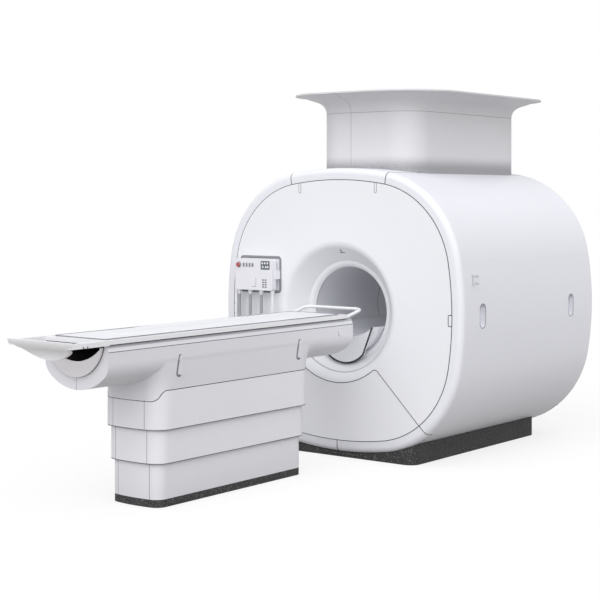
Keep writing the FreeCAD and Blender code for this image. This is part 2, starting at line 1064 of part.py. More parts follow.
ring(
    "gradient_coil",
    S.magnet_bore_radius - S.fit_gap, S.coil_inner_radius, S.coil_half_length,
)
birdcage_inner = S.bore_radius + S.bore_wall + S.fit_gap
ring("birdcage_coil", birdcage_inner + S.birdcage_wall, birdcage_inner, S.birdcage_half_length)

magnet_space = rod(
    "magnet_space", S.magnet_radius + S.fit_gap, -BEYOND, BEYOND, ZERO, S.bore_height
)
plinth_length = S.plinth_back - S.plinth_front


def plinth_outline(sketch):
    smooth_outline(
        sketch, S.plinth_half_width, plinth_length / 2, S.plinth_corner_radius
    )


plinth = upward(
    "plinth_blank", ZERO, oval_centre / 2, plinth_outline, (S.plinth_front + S.plinth_back) / 2
)
skin_room = along_bore(
    "skin_room", FRONT - PAST, BACK + PAST, gantry_oval(-S.fit_gap), up=oval_centre
)
node("magnet_plinth", cut("magnet_plinth", plinth, skin_room))
saddle = block(
    "saddle",
    -S.cradle_half_width, S.cradle_half_width,
    -S.cradle_half_length, S.cradle_half_length, ZERO, S.bore_height,
)
node("magnet_cradle", cut("magnet_cradle", common("saddle_low", saddle, skin), magnet_space))

turret = fuse(
    "turret_stack",
    post("turret", S.turret_radius, ZERO, S.turret_y, S.bore_height, S.turret_height),
    post("cold_head", S.cold_head_radius, ZERO, S.turret_y, S.turret_height, S.cold_head_height),
)
node("service_turret", cut("service_turret", turret, magnet_space))
collar_top = S.ceiling_height - S.vent_spigot_length
vent = cut(
    "vent_tube",
    fuse(
        "vent_and_collar",
        post("vent", S.vent_radius, ZERO, S.vent_y, S.bore_height, S.ceiling_height),
        post(
            "vent_collar", S.vent_collar_radius, ZERO, S.vent_y,
            collar_top - S.vent_collar_thickness, collar_top,
        ),
    ),
    post(
        "vent_bore", S.vent_radius - S.vent_wall, ZERO, S.vent_y, ZERO, S.ceiling_height + PAST
    ),
)
node("vent_pipe", cut("vent_pipe", vent, magnet_space))

# ---------------------------------------------------------------- shroud
shroud_foot = oval_centre + S.gantry_half_height - S.shroud_sink
flare_start = S.flare_height
shroud = upward(
    "shroud", shroud_foot, flare_start - half_seam, shroud_outline(ZERO), S.shroud_centre
)
inside = new_sketch(shroud, "XY_Plane", flare_start, ZERO, S.shroud_centre)
shroud_outline(-S.shroud_wall)(inside)
pocket(shroud, inside, flare_start)


def loft(body, levels, outline, subtract=False):
    """Join plan outlines at several levels: each level is a height and what goes into
    the outline."""
    sketches = []
    for height, *growth in levels:
        sketch = new_sketch(body, "XY_Plane", height, ZERO, outline.centre)
        outline(*growth)(sketch)
        sketches.append(sketch)
    kind = "Subtractive" if subtract else "Additive"
    feature = body.newObject(f"PartDesign::{kind}Loft", f"{body.Name}_loft")
    feature.Profile = sketches[0]
    feature.Sections = sketches[1:]
    doc.recompute()
    return feature


shroud_outline.centre = S.shroud_centre
flare = new_body("flare")
rise = S.ceiling_height - S.flange_edge - flare_start
# The flare's sweep: share of its rise, and share of its reach there
sweep = ((0, 0), (0.25, 0.025), (0.47, 0.1), (0.65, 0.245), (0.86, 0.6), (1, 1))
outside = [
    (flare_start + half_seam + (rise - half_seam) * up, S.flare_reach * out)
    for up, out in sweep
]
loft(flare, outside, shroud_outline)
edge = new_sketch(flare, "XY_Plane", S.ceiling_height - S.flange_edge, ZERO, S.shroud_centre)
shroud_outline(S.flare_reach)(edge)
pad(flare, edge, S.flange_edge)
inside = [
    (flare_start + (rise + S.flange_edge) * up, S.flare_reach * out - S.shroud_wall)
    for up, out in sweep
]
loft(flare, inside, shroud_outline, subtract=True)
left_of_seam = block(
    "left_of_seam", -BEYOND, -S.shroud_seam_across - half_seam, -BEYOND, BEYOND, ZERO, BEYOND
)
right_of_seam = block(
    "right_of_seam", half_seam - S.shroud_seam_across, BEYOND, -BEYOND, BEYOND, ZERO, BEYOND
)
for name, blank in (("shroud", shroud), ("flare", flare)):
    node(f"left_{name}", common(f"left_{name}", blank, left_of_seam))
    node(f"right_{name}", common(f"right_{name}", blank, right_of_seam))

# ---------------------------------------------------------------- hooks
hook_half = S.hook_width / 2
hook_rise = S.hook_height - oval_centre
hook_skin = S.gantry_half_width - S.side_arc_radius + half_chord(S.side_arc_radius, hook_rise)
hook_plate = block(
    "hook_plate",
    hook_skin - PAST, hook_skin + S.hook_thickness,
    S.hook_y - hook_half, S.hook_y + hook_half,
    S.hook_height - S.hook_length / 2, S.hook_height + S.hook_length / 2,
)
hook_pegs = [
    post(
        f"hook_peg_{i}", S.hook_peg_radius, hook_skin - PAST, S.hook_y,
        ZERO, S.hook_reach + PAST,
    )
    for i in (1, 2)
]
for peg, sign in zip(hook_pegs, (1, -1)):
    peg.Placement.Rotation = FreeCAD.Rotation(Vector(0, 1, 0), 90)
    bind(
        peg, "Placement.Base.z", S.hook_height + (S.hook_length / 2 - S.hook_peg_radius * 2) * sign
    )
hook = cut("right_hook", fuse("hook_blank", hook_plate, *hook_pegs), skin_room)
node("right_hook", hook)
node("left_hook", mirror("left_hook", hook, ACROSS))

# ---------------------------------------------------------------- control box
box_back = FRONT - S.control_standoff
box_front = box_back - S.control_depth
box_middle = (S.control_left + S.control_right) / 2
box_level = (S.control_bottom + S.control_top) / 2
box_half = (S.control_right - S.control_left) / 2
box_rise = (S.control_top - S.control_bottom) / 2


def box_outline(inset):
    return lambda sketch: smooth_outline(
        sketch, box_half - inset, box_rise - inset, S.control_corner - inset
    )


face_back = box_front + S.face_thickness
housing = along_bore(
    "control_housing", face_back + S.fit_gap, box_back, box_outline(ZERO), box_level, box_middle
)
face = along_bore(
    "control_face", box_front, face_back, box_outline(ZERO), box_level, box_middle
)
key_level = S.control_top - S.key_drop
stop_across = S.control_left + S.stop_inset


def key_outline(gap):
    return lambda sketch: smooth_outline(
        sketch, S.key_width / 2 + gap, S.key_length / 2 + gap, S.key_width / 4 + gap
    )


def key_across(i):
    return S.control_left + S.first_key_inset + S.key_pitch * i


def sink_key(body, reach, outline, across):
    """Open a key's way through a plate, or its well in the housing."""
    sketch = new_sketch(body, "XZ_Plane", -box_front + PAST, across, key_level)
    outline(sketch)
    pocket(body, sketch, reach + PAST)


well = S.face_thickness + S.fit_gap + S.key_root + S.stop_travel + S.fit_gap
for i in range(4):
    across = key_across(i)
    sink_key(face, well, key_outline(S.key_gap), across)
    sink_key(housing, well, key_outline(S.key_gap), across)
    key = along_bore(
        f"key_{i + 1}",
        box_front - S.key_travel - S.key_proud, face_back + S.fit_gap + S.key_root,
        key_outline(ZERO), key_level, across,
    )
    node(f"key_{i + 1}", key)
sink_key(face, well, bore_circle(S.stop_stem_radius + S.key_gap), stop_across)
sink_key(housing, well, bore_circle(S.stop_stem_radius + S.key_gap), stop_across)
stop = along_bore(
    "emergency_stop",
    box_front - S.stop_travel - S.key_proud, face_back + S.fit_gap + S.key_root,
    bore_circle(S.stop_stem_radius), key_level, stop_across,
)
stop_cap = new_sketch(
    stop, "XZ_Plane", -box_front + S.stop_travel + S.key_proud, stop_across, key_level
)
circle(stop_cap, S.stop_radius)
pad(stop, stop_cap, S.stop_cap_height)
node("emergency_stop", stop)


def screen_outline(gap):
    return lambda sketch: smooth_outline(
        sketch, S.screen_half_width + gap, S.screen_half_height + gap, S.key_width / 4
    )


screen_across = S.control_right - S.screen_inset
screen = along_bore(
    "control_display", box_front - S.key_proud, face_back, screen_outline(ZERO), key_level,
    screen_across,
)
sink_key(face, S.face_thickness + S.fit_gap, screen_outline(S.inlay_gap), screen_across)
node("control_display", screen)
node("control_face", face)
node("control_housing", housing)

# The bracket stands on the panel, grips the housing's sides and carries the conduits
arm = S.bracket_arm
arm_low, arm_high = box_level - S.bracket_rise / 2, box_level + S.bracket_rise / 2
panel_gap = FRONT - S.glide_gap
housing_rim = box_back + S.glide_gap
left_arm = S.control_left - S.fit_gap
right_arm = S.control_right + S.fit_gap
conduit_y = box_back - S.conduit_radius * 2
bracket = [
    block(
        "bracket_plate",
        left_arm - arm, right_arm + arm, housing_rim, panel_gap, arm_low, arm_high,
    ),
    block("left_bracket_arm", left_arm - arm, left_arm, conduit_y, panel_gap, arm_low, arm_high),
    block(
        "right_bracket_arm", right_arm, right_arm + arm, conduit_y, panel_gap, arm_low, arm_high
    ),
]
shelf = S.conduit_foot
bracket_shelf = block(
    "conduit_shelf",
    left_arm - arm * 2, right_arm + arm, conduit_y - S.conduit_radius, panel_gap,
    shelf - S.shelf_thickness, shelf,
)
conduits = [bracket_shelf]
for i in range(4):
    across = S.control_left + S.first_conduit_inset + S.conduit_pitch * i
    conduits.append(
        post(
            f"conduit_{i + 1}", S.conduit_radius, across, conduit_y,
            shelf - S.shelf_thickness, S.control_bottom - S.glide_gap,
        )
    )
conduits.append(
    post(
        "conduit_5", S.conduit_radius, left_arm - arm, conduit_y,
        shelf - S.shelf_thickness, arm_high,
    )
)
node("control_bracket", fuse("control_bracket", *bracket, *conduits))

# ---------------------------------------------------------------- table pedestal
def tier_outline(growth_x, growth_y=None):
    """The pedestal's plan: straight sides, bowed ends and round corners."""
    growth_y = growth_x if growth_y is None else growth_y

    def draw(sketch):
        smooth_outline(
            sketch,
            S.table_half_width + growth_x,
            S.table_half_length + growth_y,
            S.table_corner_radius + growth_x,
            end_radius=S.table_end_radius + growth_y,
        )

    return draw


tier_outline.centre = S.table_centre


def tier(label, growth, low, high):
    body = upward(label, low, high, tier_outline(growth), S.table_centre)
    inside = new_sketch(body, "XY_Plane", high, ZERO, S.table_centre)
    tier_outline(growth - S.tier_wall)(inside)
    pocket(body, inside, high - low)
    return body


nose_half = S.nose_panel_half_width
nose_back = S.table_centre - S.table_half_length / 2
nose_zone = block(
    "nose_zone", half_seam - nose_half, nose_half - half_seam, -BEYOND * 2, nose_back,
    ZERO, BEYOND,
)
nose_void = block(
    "nose_void", -half_seam - nose_half, nose_half + half_seam, -BEYOND * 2, nose_back,
    ZERO, BEYOND,
)

wave_start = S.table_centre - S.table_half_length + S.nose_step
wave_end = wave_start - S.nose_dip
wave_middle = (wave_start + wave_end) / 2


def wave_zone(label, drop):
    """Everything under the upper skirt's top line, which dips round the nose."""
    high = upper_tier_top - drop
    low = high - S.nose_dip

    def draw(sketch):
        chain(
            sketch,
            [
                (-BEYOND * 2, ZERO),
                (ZERO, ZERO),
                (ZERO, high),
                (wave_start, high),
                (wave_middle, (high + low) / 2),
                (wave_end, low),
                (-BEYOND * 2, low),
            ],
            {3: -S.nose_dip, 4: S.nose_dip},
        )

    return sideways(label, -BEYOND, BEYOND, draw)


skirt_room = wave_zone("skirt_room", S.seam)
neck_room = wave_zone("neck_room", ZERO)

upper_ring = common(
    "upper_ring",
    tier("upper_tier", S.tier_step * 2, S.upper_tier_bottom, upper_tier_top),
    skirt_room,
)
middle_ring = tier("middle_tier", S.tier_step, S.middle_tier_bottom, S.middle_tier_top)
lower_ring = tier(
    "lower_tier", ZERO, S.table_plinth_height + S.glide_gap, S.lower_tier_top
)
for name, ring_blank in (
    ("upper", upper_ring), ("middle", middle_ring), ("lower", lower_ring)
):
    node(f"{name}_skirt_nose", common(f"{name}_skirt_nose", ring_blank, nose_zone))
    node(f"{name}_skirt", cut(f"{name}_skirt", ring_blank, nose_void))

table_plinth = upward(
    "table_plinth", ZERO, S.table_plinth_height, tier_outline(ZERO), S.table_centre
)
node("table_plinth", table_plinth)


# ---------------------------------------------------------------- lifting columns
def square_tube(label, along, outer, inner, low, high):
    outside = block(f"{label}_outside", -outer, outer, along - outer, along + outer, low, high)
    inside = block(
        f"{label}_inside",
        -inner, inner, along - inner, along + inner, low - PAST, high + PAST,
    )
    return cut(label, outside, inside)


outer_half = S.column_half_width
middle_half = outer_half - S.column_wall - S.fit_gap
inner_half = middle_half - S.column_wall - S.fit_gap
tie_low = S.middle_tier_top + S.glide_gap
tie_ways = []
for place, sign in (("foot", -1), ("head", 1)):
    along = S.table_centre + S.column_spread * sign
    stages = (
        ("outer", outer_half, S.table_plinth_height + S.glide_gap, S.column_outer_top),
        ("middle", middle_half, S.column_middle_bottom, tie_low - S.glide_gap),
        ("inner", inner_half, S.column_inner_bottom, frame_bottom - S.glide_gap),
    )
    for stage, half, low, high in stages:
        name = f"{place}_column_{stage}"
        node(name, square_tube(name, along, half, half - S.column_wall, low, high))
    way = inner_half + S.fit_gap
    tie_ways.append(
        block(f"{place}_tie_way", -way, way, along - way, along + way, ZERO, BEYOND)
    )
tie = upward(
    "tie_blank", tie_low, tie_low + S.tie_thickness, tier_outline(S.tier_step), S.table_centre
)
node("middle_tie", cut("middle_tie", tie, fuse("tie_ways", *tie_ways)))

# ---------------------------------------------------------------- beam
belly_centre = beam_belly + S.beam_belly_radius
corner_centre = S.beam_half_width - S.beam_corner_radius
corner_reach = S.beam_belly_radius - S.beam_corner_radius
corner_drop = half_chord(corner_reach, corner_centre)
turn = S.beam_belly_radius / corner_reach
belly_half = corner_centre * turn
belly_level = belly_centre - corner_drop * turn
side_level = belly_centre - corner_drop


def beam_section(sketch):
    """A deep tray in section: sloping rims, upright sides, round corners, curved belly."""
    chain(
        sketch,
        [
            (-S.beam_top_half_width, beam_top),
            (-S.beam_half_width, beam_shoulder),
            (-S.beam_half_width, side_level),
            (-belly_half, belly_level),
            (belly_half, belly_level),
            (S.beam_half_width, side_level),
            (S.beam_half_width, beam_shoulder),
            (S.beam_top_half_width, beam_top),
        ],
        {2: -S.beam_corner_radius, 3: -S.beam_belly_radius, 4: -S.beam_corner_radius},
    )


beam_tray = along_bore("beam_tray", S.beam_foot, S.beam_head, beam_section)


neck = new_body("neck")
neck_base = S.tier_step * 2
neck_foot = upper_tier_top - S.nose_dip - S.neck_overlap
neck_side = S.beam_half_width - S.table_half_width - neck_base - S.neck_play
neck_rise = side_level - upper_tier_top
# Share of the neck's rise, and share of its reach along the beam there
neck_sweep = ((0.3, 0.07), (0.6, 0.3), (1, 1))
neck_levels = [(neck_foot, neck_base, neck_base), (upper_tier_top, neck_base, neck_base)]
for up, out in neck_sweep:
    neck_levels.append(
        (
            upper_tier_top + neck_rise * up,
            neck_base + neck_side * up,
            neck_base + S.neck_flare * out,
        )
    )
loft(neck, neck_levels, tier_outline)

neck_inside = upward(
    "neck_inside", ZERO, frame_bottom - S.tie_thickness - S.neck_clearance,
    tier_outline(neck_base - S.tier_wall), S.table_centre,
)
frame_foot, frame_head = S.beam_foot + S.frame_inset, S.beam_head - S.frame_inset
frame_space = block(
    "frame_space",
    -S.frame_half_width - S.fit_gap, S.frame_half_width + S.fit_gap,
    frame_foot - S.fit_gap, frame_head + S.fit_gap,
    frame_bottom - S.fit_gap, trough_level - S.trough_radius + S.trough_wall,
)
column_space = [
    block(
        f"{place}_column_space",
        -S.column_half_width, S.column_half_width,
        S.table_centre + S.column_spread * sign - S.column_half_width,
        S.table_centre + S.column_spread * sign + S.column_half_width,
        S.upper_tier_bottom, frame_bottom,
    )
    for place, sign in (("foot", -1), ("head", 1))
]
trough_space = rod(
    "trough_space", S.trough_radius + S.fit_gap, -BEYOND * 2, BEYOND, ZERO, trough_level
)
tray = cut(
    "tray_and_neck",
    fuse("tray_blank", beam_tray, cut("neck_cut", neck, neck_room)),
    fuse("tray_spaces", trough_space, neck_inside, frame_space, *column_space),
)


def fin_side(label, middle):
    """A drop-shaped hand hold that stands off the beam's side, pointed at its top."""
    low_radius, top_radius = S.fin_width / 2, S.fin_width / 5
    fin_top = beam_top - S.fin_drop
    fin_bottom = fin_top - S.fin_length
    low = fin_bottom + low_radius
    high = fin_top - top_radius

    def draw(sketch):
        chain(
            sketch,
            [
                (middle - low_radius, low),
                (middle, fin_bottom),
                (middle + low_radius, low),
                (middle + top_radius, high),
                (middle, fin_top),
                (middle - top_radius, high),
            ],
            {0: -low_radius, 1: -low_radius, 3: -top_radius, 4: -top_radius},
        )

    return sideways(
        label, S.beam_half_width - S.fin_root, S.beam_half_width + S.fin_height / 2, draw
    )


right_fins = fuse(
    "right_fins", fin_side("head_fin", S.fin_head), fin_side("foot_fin", S.fin_foot)
)
right_half = block(
    "right_half", S.beam_seam / 2, BEYOND, -BEYOND * 2, BEYOND, ZERO, BEYOND
)
right_beam = fuse("right_beam_shell", common("right_tray", tray, right_half), right_fins)
node("right_beam_shell", right_beam)
node("left_beam_shell", mirror("left_beam_shell", right_beam, ACROSS))
node(
    "beam_frame",
    block(
        "beam_frame", -S.frame_half_width, S.frame_half_width, frame_foot, frame_head,
        frame_bottom, frame_bottom + S.frame_thickness,
    ),
)

trough_foot = S.beam_foot - S.trough_overhang
trough_tube = cut(
    "trough_tube",
    rod("trough_outside", S.trough_radius, trough_foot, S.beam_head, ZERO, trough_level),
    rod(
        "trough_inside", S.trough_radius - S.trough_wall, -BEYOND * 2, BEYOND, ZERO,
        trough_level,
    ),
)
above_trough = block(
    "above_trough", -BEYOND, BEYOND, -BEYOND * 2, BEYOND, beam_top - S.trough_drop, BEYOND
)
keel_radius = S.bridge_trough_radius - S.keel_clearance
glides = []
for side, sign in (("right", 1), ("left", -1)):
    middle = S.glide_across * sign
    glides.append(
        block(
            f"{side}_glide", middle - S.glide_width / 2, middle + S.glide_width / 2,
            S.beam_foot + S.glide_foot_inset, S.beam_head - S.glide_head_inset,
            trough_level - S.trough_radius, beam_shoulder - S.glide_across,
        )
    )
keel_room = rod(
    "keel_room", keel_radius + S.glide_gap, -BEYOND * 2, BEYOND, ZERO, trough_centre
)
trough_bed = rod("trough_bed", S.trough_radius, -BEYOND * 2, BEYOND, ZERO, trough_level)
glide_strips = cut(
    "glide_strips", common("glides_low", fuse("glides", *glides), trough_bed), keel_room
)
# A crescent closes the trough's foot end under a shallow mouth
trough_end = cut(
    "trough_end",
    rod(
        "trough_end_blank", S.trough_radius, trough_foot, trough_foot + S.trough_end_wall,
        ZERO, trough_level,
    ),
    rod(
        "trough_mouth", S.trough_mouth_radius, -BEYOND * 2, BEYOND, ZERO,
        trough_level - S.trough_mouth_drop + S.trough_mouth_radius,
    ),
)
trough_shell = cut("trough_shell", fuse("trough_walls", trough_tube, trough_end), above_trough)
node("trough", fuse("trough", trough_shell, glide_strips))

# ---------------------------------------------------------------- tabletop
top_length = S.top_head - S.top_foot
top_middle = (S.top_head + S.top_foot) / 2


def top_outline(inset):
    return lambda sketch: smooth_outline(
        sketch, S.top_half_width - inset, top_length / 2 - inset, S.top_corner_radius - inset / 2
    )


top = upward("tabletop", top_low, S.top_height, top_outline(ZERO), top_middle)
recess = new_sketch(top, "XY_Plane", S.top_height, ZERO, top_middle)
top_outline(S.rim_width)(recess)
pocket(top, recess, S.recess_depth)
keel_level = trough_centre - half_chord(keel_radius, S.keel_half_width)
keel_top = (top_low + S.top_height - S.recess_depth) / 2
keel = new_sketch(top, "XZ_Plane", -S.top_foot - S.keel_inset)
chain(
    keel,
    [
        (-S.keel_half_width, keel_level),
        (S.keel_half_width, keel_level),
        (S.keel_half_width, keel_top),
        (-S.keel_half_width, keel_top),
    ],
    {0: -keel_radius},
)
pad(top, keel, top_length - S.keel_inset - S.top_corner_radius, reverse=True)
node("tabletop", top)

# Mattress: sides drawn in at the foot, soft shoulders and a low crown across
pad_low = S.top_height - S.recess_depth + S.glide_gap
pad_high = S.top_height - S.recess_depth + S.pad_thickness
pad_inset = S.rim_width + S.pad_gap
top_outline.centre = top_middle
# Share of the pad's height, and share of its soft edge drawn in there
pad_sweep = ((0, 0.35), (0.3, 0), (0.65, 0.2), (1, 1))
cushion = new_body("cushion")
pad_levels = [
    (pad_low + (pad_high - pad_low) * up, pad_inset + S.pad_edge * back)
    for up, back in pad_sweep
]
loft(cushion, pad_levels, top_outline)
crown_half = S.top_half_width - pad_inset
crown_radius = (crown_half * crown_half + S.pad_crown * S.pad_crown) / (S.pad_crown * 2)
crown = rod("crown", crown_radius, -BEYOND * 2, BEYOND, ZERO, pad_high - crown_radius)
node("mattress", common("mattress", cushion, crown))

# Foot handle: two arms carry on the rims, and a sagging, backswept bar joins them
handle_drop = handle_top - S.handle_depth


def handle_face(sketch):
    """The bar from the front: a level top, ends that clear the beam's rims, and a
    sagging underside that clears the trough."""
    half = S.top_half_width
    end_half = half - S.handle_end_width
    sag_half = half - S.rim_width * 2
    radius = (sag_half * sag_half + S.handle_dip * S.handle_dip) / (S.handle_dip * 2)
    chain(
        sketch,
        [
            (-half, handle_top),
            (-half, top_low),
            (-end_half, top_low),
            (-sag_half, handle_drop),
            (sag_half, handle_drop),
            (end_half, top_low),
            (half, top_low),
            (half, handle_top),
        ],
        {3: -radius},
    )


def handle_side(sketch):
    """The bar from the side: it sweeps back as it goes down."""
    tip, low = S.handle_end, handle_drop - S.handle_dip
    knee, knee_level = tip + S.handle_band, handle_drop + S.handle_knee
    root = tip + S.handle_sweep_back
    bar = S.handle_bar
    chain(
        sketch,
        [
            (tip, handle_top),
            (knee, knee_level),
            (root, low),
            (root + bar, low),
            (knee + bar, knee_level),
            (tip + bar, handle_top),
        ],
        {0: -S.handle_sweep, 1: S.handle_sweep, 3: -S.handle_sweep, 4: S.handle_sweep},
    )


bar_front = along_bore("bar_front", S.handle_end - PAST, S.top_foot, handle_face)
bar_side = sideways("bar_side", -S.top_half_width, S.top_half_width, handle_side)
arms = []
for side, sign in (("right", 1), ("left", -1)):
    outer = S.top_half_width
    inner = S.top_half_width - S.rim_width
    low, high = (inner, outer) if sign > 0 else (-outer, -inner)
    arms.append(
        block(
            f"{side}_handle_arm", low, high, S.handle_end + S.handle_bar / 2,
            S.top_foot + S.top_corner_radius, top_low, S.top_height,
        )
    )
top_room = upward("top_room", ZERO, BEYOND, top_outline(-S.glide_gap), top_middle)
handle = cut(
    "foot_handle",
    fuse("handle_blank", common("handle_wing", bar_front, bar_side), *arms),
    top_room,
)
node("foot_handle", handle)

# Head bow: a tube that leaves the tabletop's head end, rises at a slant and comes back.
# It is drawn flat from the head end's line, and its body is tilted about that line.
bow = new_body("head_bow")
bow.Placement.Rotation = FreeCAD.Rotation(ACROSS, float(S.bow_tilt))
bind(bow, "Placement.Base.y", S.top_head)
bind(bow, "Placement.Base.z", (top_low + S.top_height) / 2)
bow_half = S.top_half_width - S.rim_width / 2
turn_radius = S.bow_corner_radius
path = new_sketch(bow, "XY_Plane")
chain(
    path,
    [
        (bow_half, -S.bow_grip),
        (bow_half, S.bow_reach - turn_radius),
        (bow_half - turn_radius, S.bow_reach),
        (turn_radius - bow_half, S.bow_reach),
        (-bow_half, S.bow_reach - turn_radius),
        (-bow_half, -S.bow_grip),
    ],
    {1: -turn_radius, 3: -turn_radius},
    closed=False,
)
bow_end_face = new_sketch(bow, "XZ_Plane", S.bow_grip, bow_half)
circle(bow_end_face, S.bow_radius)
bow_pipe = bow.newObject("PartDesign::AdditivePipe", "bow_pipe")
bow_pipe.Profile = bow_end_face
bow_pipe.Spine = path
node("head_bow", cut("head_bow", bow, top_room))

# ---------------------------------------------------------------- check and hand in
doc.recompute()
for item in doc.Objects:
    if {"Invalid", "Error"} & set(item.State):
        raise ValueError(f"{item.Name} did not build: {item.State}")
for name, item in nodes.items():
    shape = item.Shape
    if shape.isNull() or not shape.isValid() or len(shape.Solids) != 1:
        raise ValueError(f"{name} is not one valid solid")
os.makedirs("parts", exist_ok=True)
for name, item in nodes.items():
    item.Shape.exportStep(f"parts/{name}.step")
print(f"{len(nodes)} sub-parts")
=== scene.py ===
"""Looks for a whole-body magnetic resonance scanner with its lifting patient table.

Metres. The origin is on the floor under the centre of the bore. +Z is up, and +Y runs
from the patient's table through the bore to the back of the magnet.
"""

import json
import math

import bmesh
import bpy
import numpy as np
from bpy.props import FloatProperty, FloatVectorProperty, IntProperty, PointerProperty
from mathutils import Matrix


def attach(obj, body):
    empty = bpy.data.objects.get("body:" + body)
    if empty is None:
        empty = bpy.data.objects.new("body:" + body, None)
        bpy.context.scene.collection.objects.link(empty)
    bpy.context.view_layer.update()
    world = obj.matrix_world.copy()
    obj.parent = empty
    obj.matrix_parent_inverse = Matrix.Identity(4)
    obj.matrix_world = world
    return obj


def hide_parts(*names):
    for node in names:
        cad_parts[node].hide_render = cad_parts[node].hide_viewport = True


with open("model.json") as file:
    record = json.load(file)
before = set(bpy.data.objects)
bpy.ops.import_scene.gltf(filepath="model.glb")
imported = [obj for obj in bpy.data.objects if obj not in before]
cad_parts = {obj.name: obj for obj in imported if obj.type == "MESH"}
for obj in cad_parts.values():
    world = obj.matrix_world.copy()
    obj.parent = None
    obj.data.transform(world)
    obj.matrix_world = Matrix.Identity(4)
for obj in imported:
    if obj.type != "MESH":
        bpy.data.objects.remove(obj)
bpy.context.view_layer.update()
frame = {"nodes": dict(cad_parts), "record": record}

bl_info = {
    "name": "Magnetic resonance scanner",
    "version": (1, 0, 0),
    "blender": (4, 5, 0),
    "location": "View3D > Sidebar > Scanner",
    "description": "Finishes, seams, fittings and mattress of a scanner and its table",
    "category": "Object",
}

FRONT, RIGHT, UP, DOWN = (0, -1, 0), (1, 0, 0), (0, 0, 1), (0, 0, -1)

# The covers' outline: eight arcs that touch each other, about a level line
OUTLINE_LEVEL = 1.003
HALF_WIDTH, HALF_HEIGHT = 1.0, 0.968
SIDE_ARC, CORNER_ARC, CROWN_ARC = 2.2, 0.7, 2.5
COVER_FACE, PANEL_FACE = 0.923, 0.925
EDGE_ROUND, PANEL_INSET = 0.04, 0.0804
BAND_END = 0.8555

# The roof seams' distance from the middle, the sum of x and z along the slanting line
# over the lower panel, and the middles of the finger grips along a side
ROOF_SEAM, SPLIT_SUM = 0.45, 0.94
GRIPS = (-0.669, 0.562)

# The bore, and the funnel's cone: its mouth, and how fast it deepens as it narrows
BORE_LEVEL, BORE_RADIUS = 0.99, 0.3
MOUTH_Y, MOUTH_RADIUS, FUNNEL_SLOPE = -0.903, 0.438, 113 / 96

# The shroud over the magnet, the flare that it ends in, and their upright seam
SHROUD_HALF_WIDTH, SHROUD_HALF_LENGTH, SHROUD_CORNER = 0.42, 0.745, 0.205
SHROUD_CENTRE, FLARE_FOOT = 0.127, 2.365
SEAM_ACROSS, SEAM_FOOT, SEAM_TOP = -0.103, 1.955, 2.4899

# The control box's face and middle, and the conduits under it
BOX_FACE, BOX_ACROSS, BOX_LEVEL = 1.005, -0.6725, 1.225
CONDUITS, CONDUIT_Y = (-0.825, -0.724, -0.623, -0.522), -0.979
CONDUIT_FOOT, CONDUIT_TOP = 0.7602, 1.1142

# The pedestal's plan: straight sides, bowed ends and round corners
TABLE_CENTRE = -2.223
TABLE_HALF_WIDTH, TABLE_HALF_LENGTH = 0.192, 0.682
TABLE_CORNER, TABLE_END_ARC = 0.067, 0.875
NOSE_HALF_WIDTH = 0.125

# The pedestal's tiers: what the plan grows by, the foot and top of the nose's joints,
# and the body
TIERS = {
    "lower": (0.0, 0.046, 0.297, "gantry"),
    "middle": (0.021, 0.251, 0.529, "middle_tier"),
    "upper": (0.042, 0.447, 0.611, "beam"),
}

# The beam's half width and ends, and the line from which its neck leans out
BEAM_HALF_WIDTH, BEAM_FOOT, BEAM_HEAD = 0.25, -3.345, -1.085
NECK_LEVEL = 0.674

# The tabletop's middle along the table, and the mattress on it
TOP_MIDDLE = -2.2475
PAD_HALF_WIDTH, PAD_HALF_LENGTH, PAD_CORNER = 0.203, 1.0755, 0.022
PAD_LOW, PAD_EDGE = 0.9794, 0.9975


def linear(hexa):
    """The linear colour of an sRGB hex value."""
    srgb = np.array([int(hexa[i : i + 2], 16) for i in (1, 3, 5)]) / 255
    value = np.where(srgb <= 0.04045, srgb / 12.92, ((srgb + 0.055) / 1.055) ** 2.4)
    return tuple(float(v) for v in value)


# ---------------------------------------------------------------- properties
def length(name, description, default, low=0.0, high=5.0):
    return FloatProperty(
        name=name, description=description, default=default, min=low, max=high, unit="LENGTH",
        precision=4,
    )


def colour(name, description, hexa):
    return FloatVectorProperty(
        name=name, description=description, default=linear(hexa), size=3, min=0, max=1,
        subtype="COLOR",
    )


class ScannerSizes(bpy.types.PropertyGroup):
    """Sizes of what is added to the solids."""

    gasket_width: length("Gasket width", "Width of the dark gasket between covers", 0.006)
    gasket_proud: length("Gasket height", "How far a gasket stands off its face", 0.0005)
    hairline_width: length("Hairline width", "Width of a fine joint between sheets", 0.0032)
    hairline_proud: length("Hairline height", "How far a fine joint stands off", 0.0003)
    funnel_ring_radius: length("Funnel ring radius", "Radius of the ring in the funnel", 0.416)
    funnel_ring_width: length("Funnel ring width", "Width of the ring in the funnel", 0.011)
    sleeve_radius: length("Conduit sleeve radius", "Outer radius of the ribbed sleeves", 0.0112)
    rib_pitch: length("Sleeve rib pitch", "Distance from rib to rib of a sleeve", 0.006)
    pad_swell: length("Mattress swell", "How far the cover may swell past the foam", 0.004)
    piping_radius: length("Piping radius", "Radius of the mattress's welded piping", 0.0023)
    pad_frames: IntProperty(
        name="Mattress steps", description="Steps of the mattress's cloth simulation",
        default=20, min=2, max=60,
    )


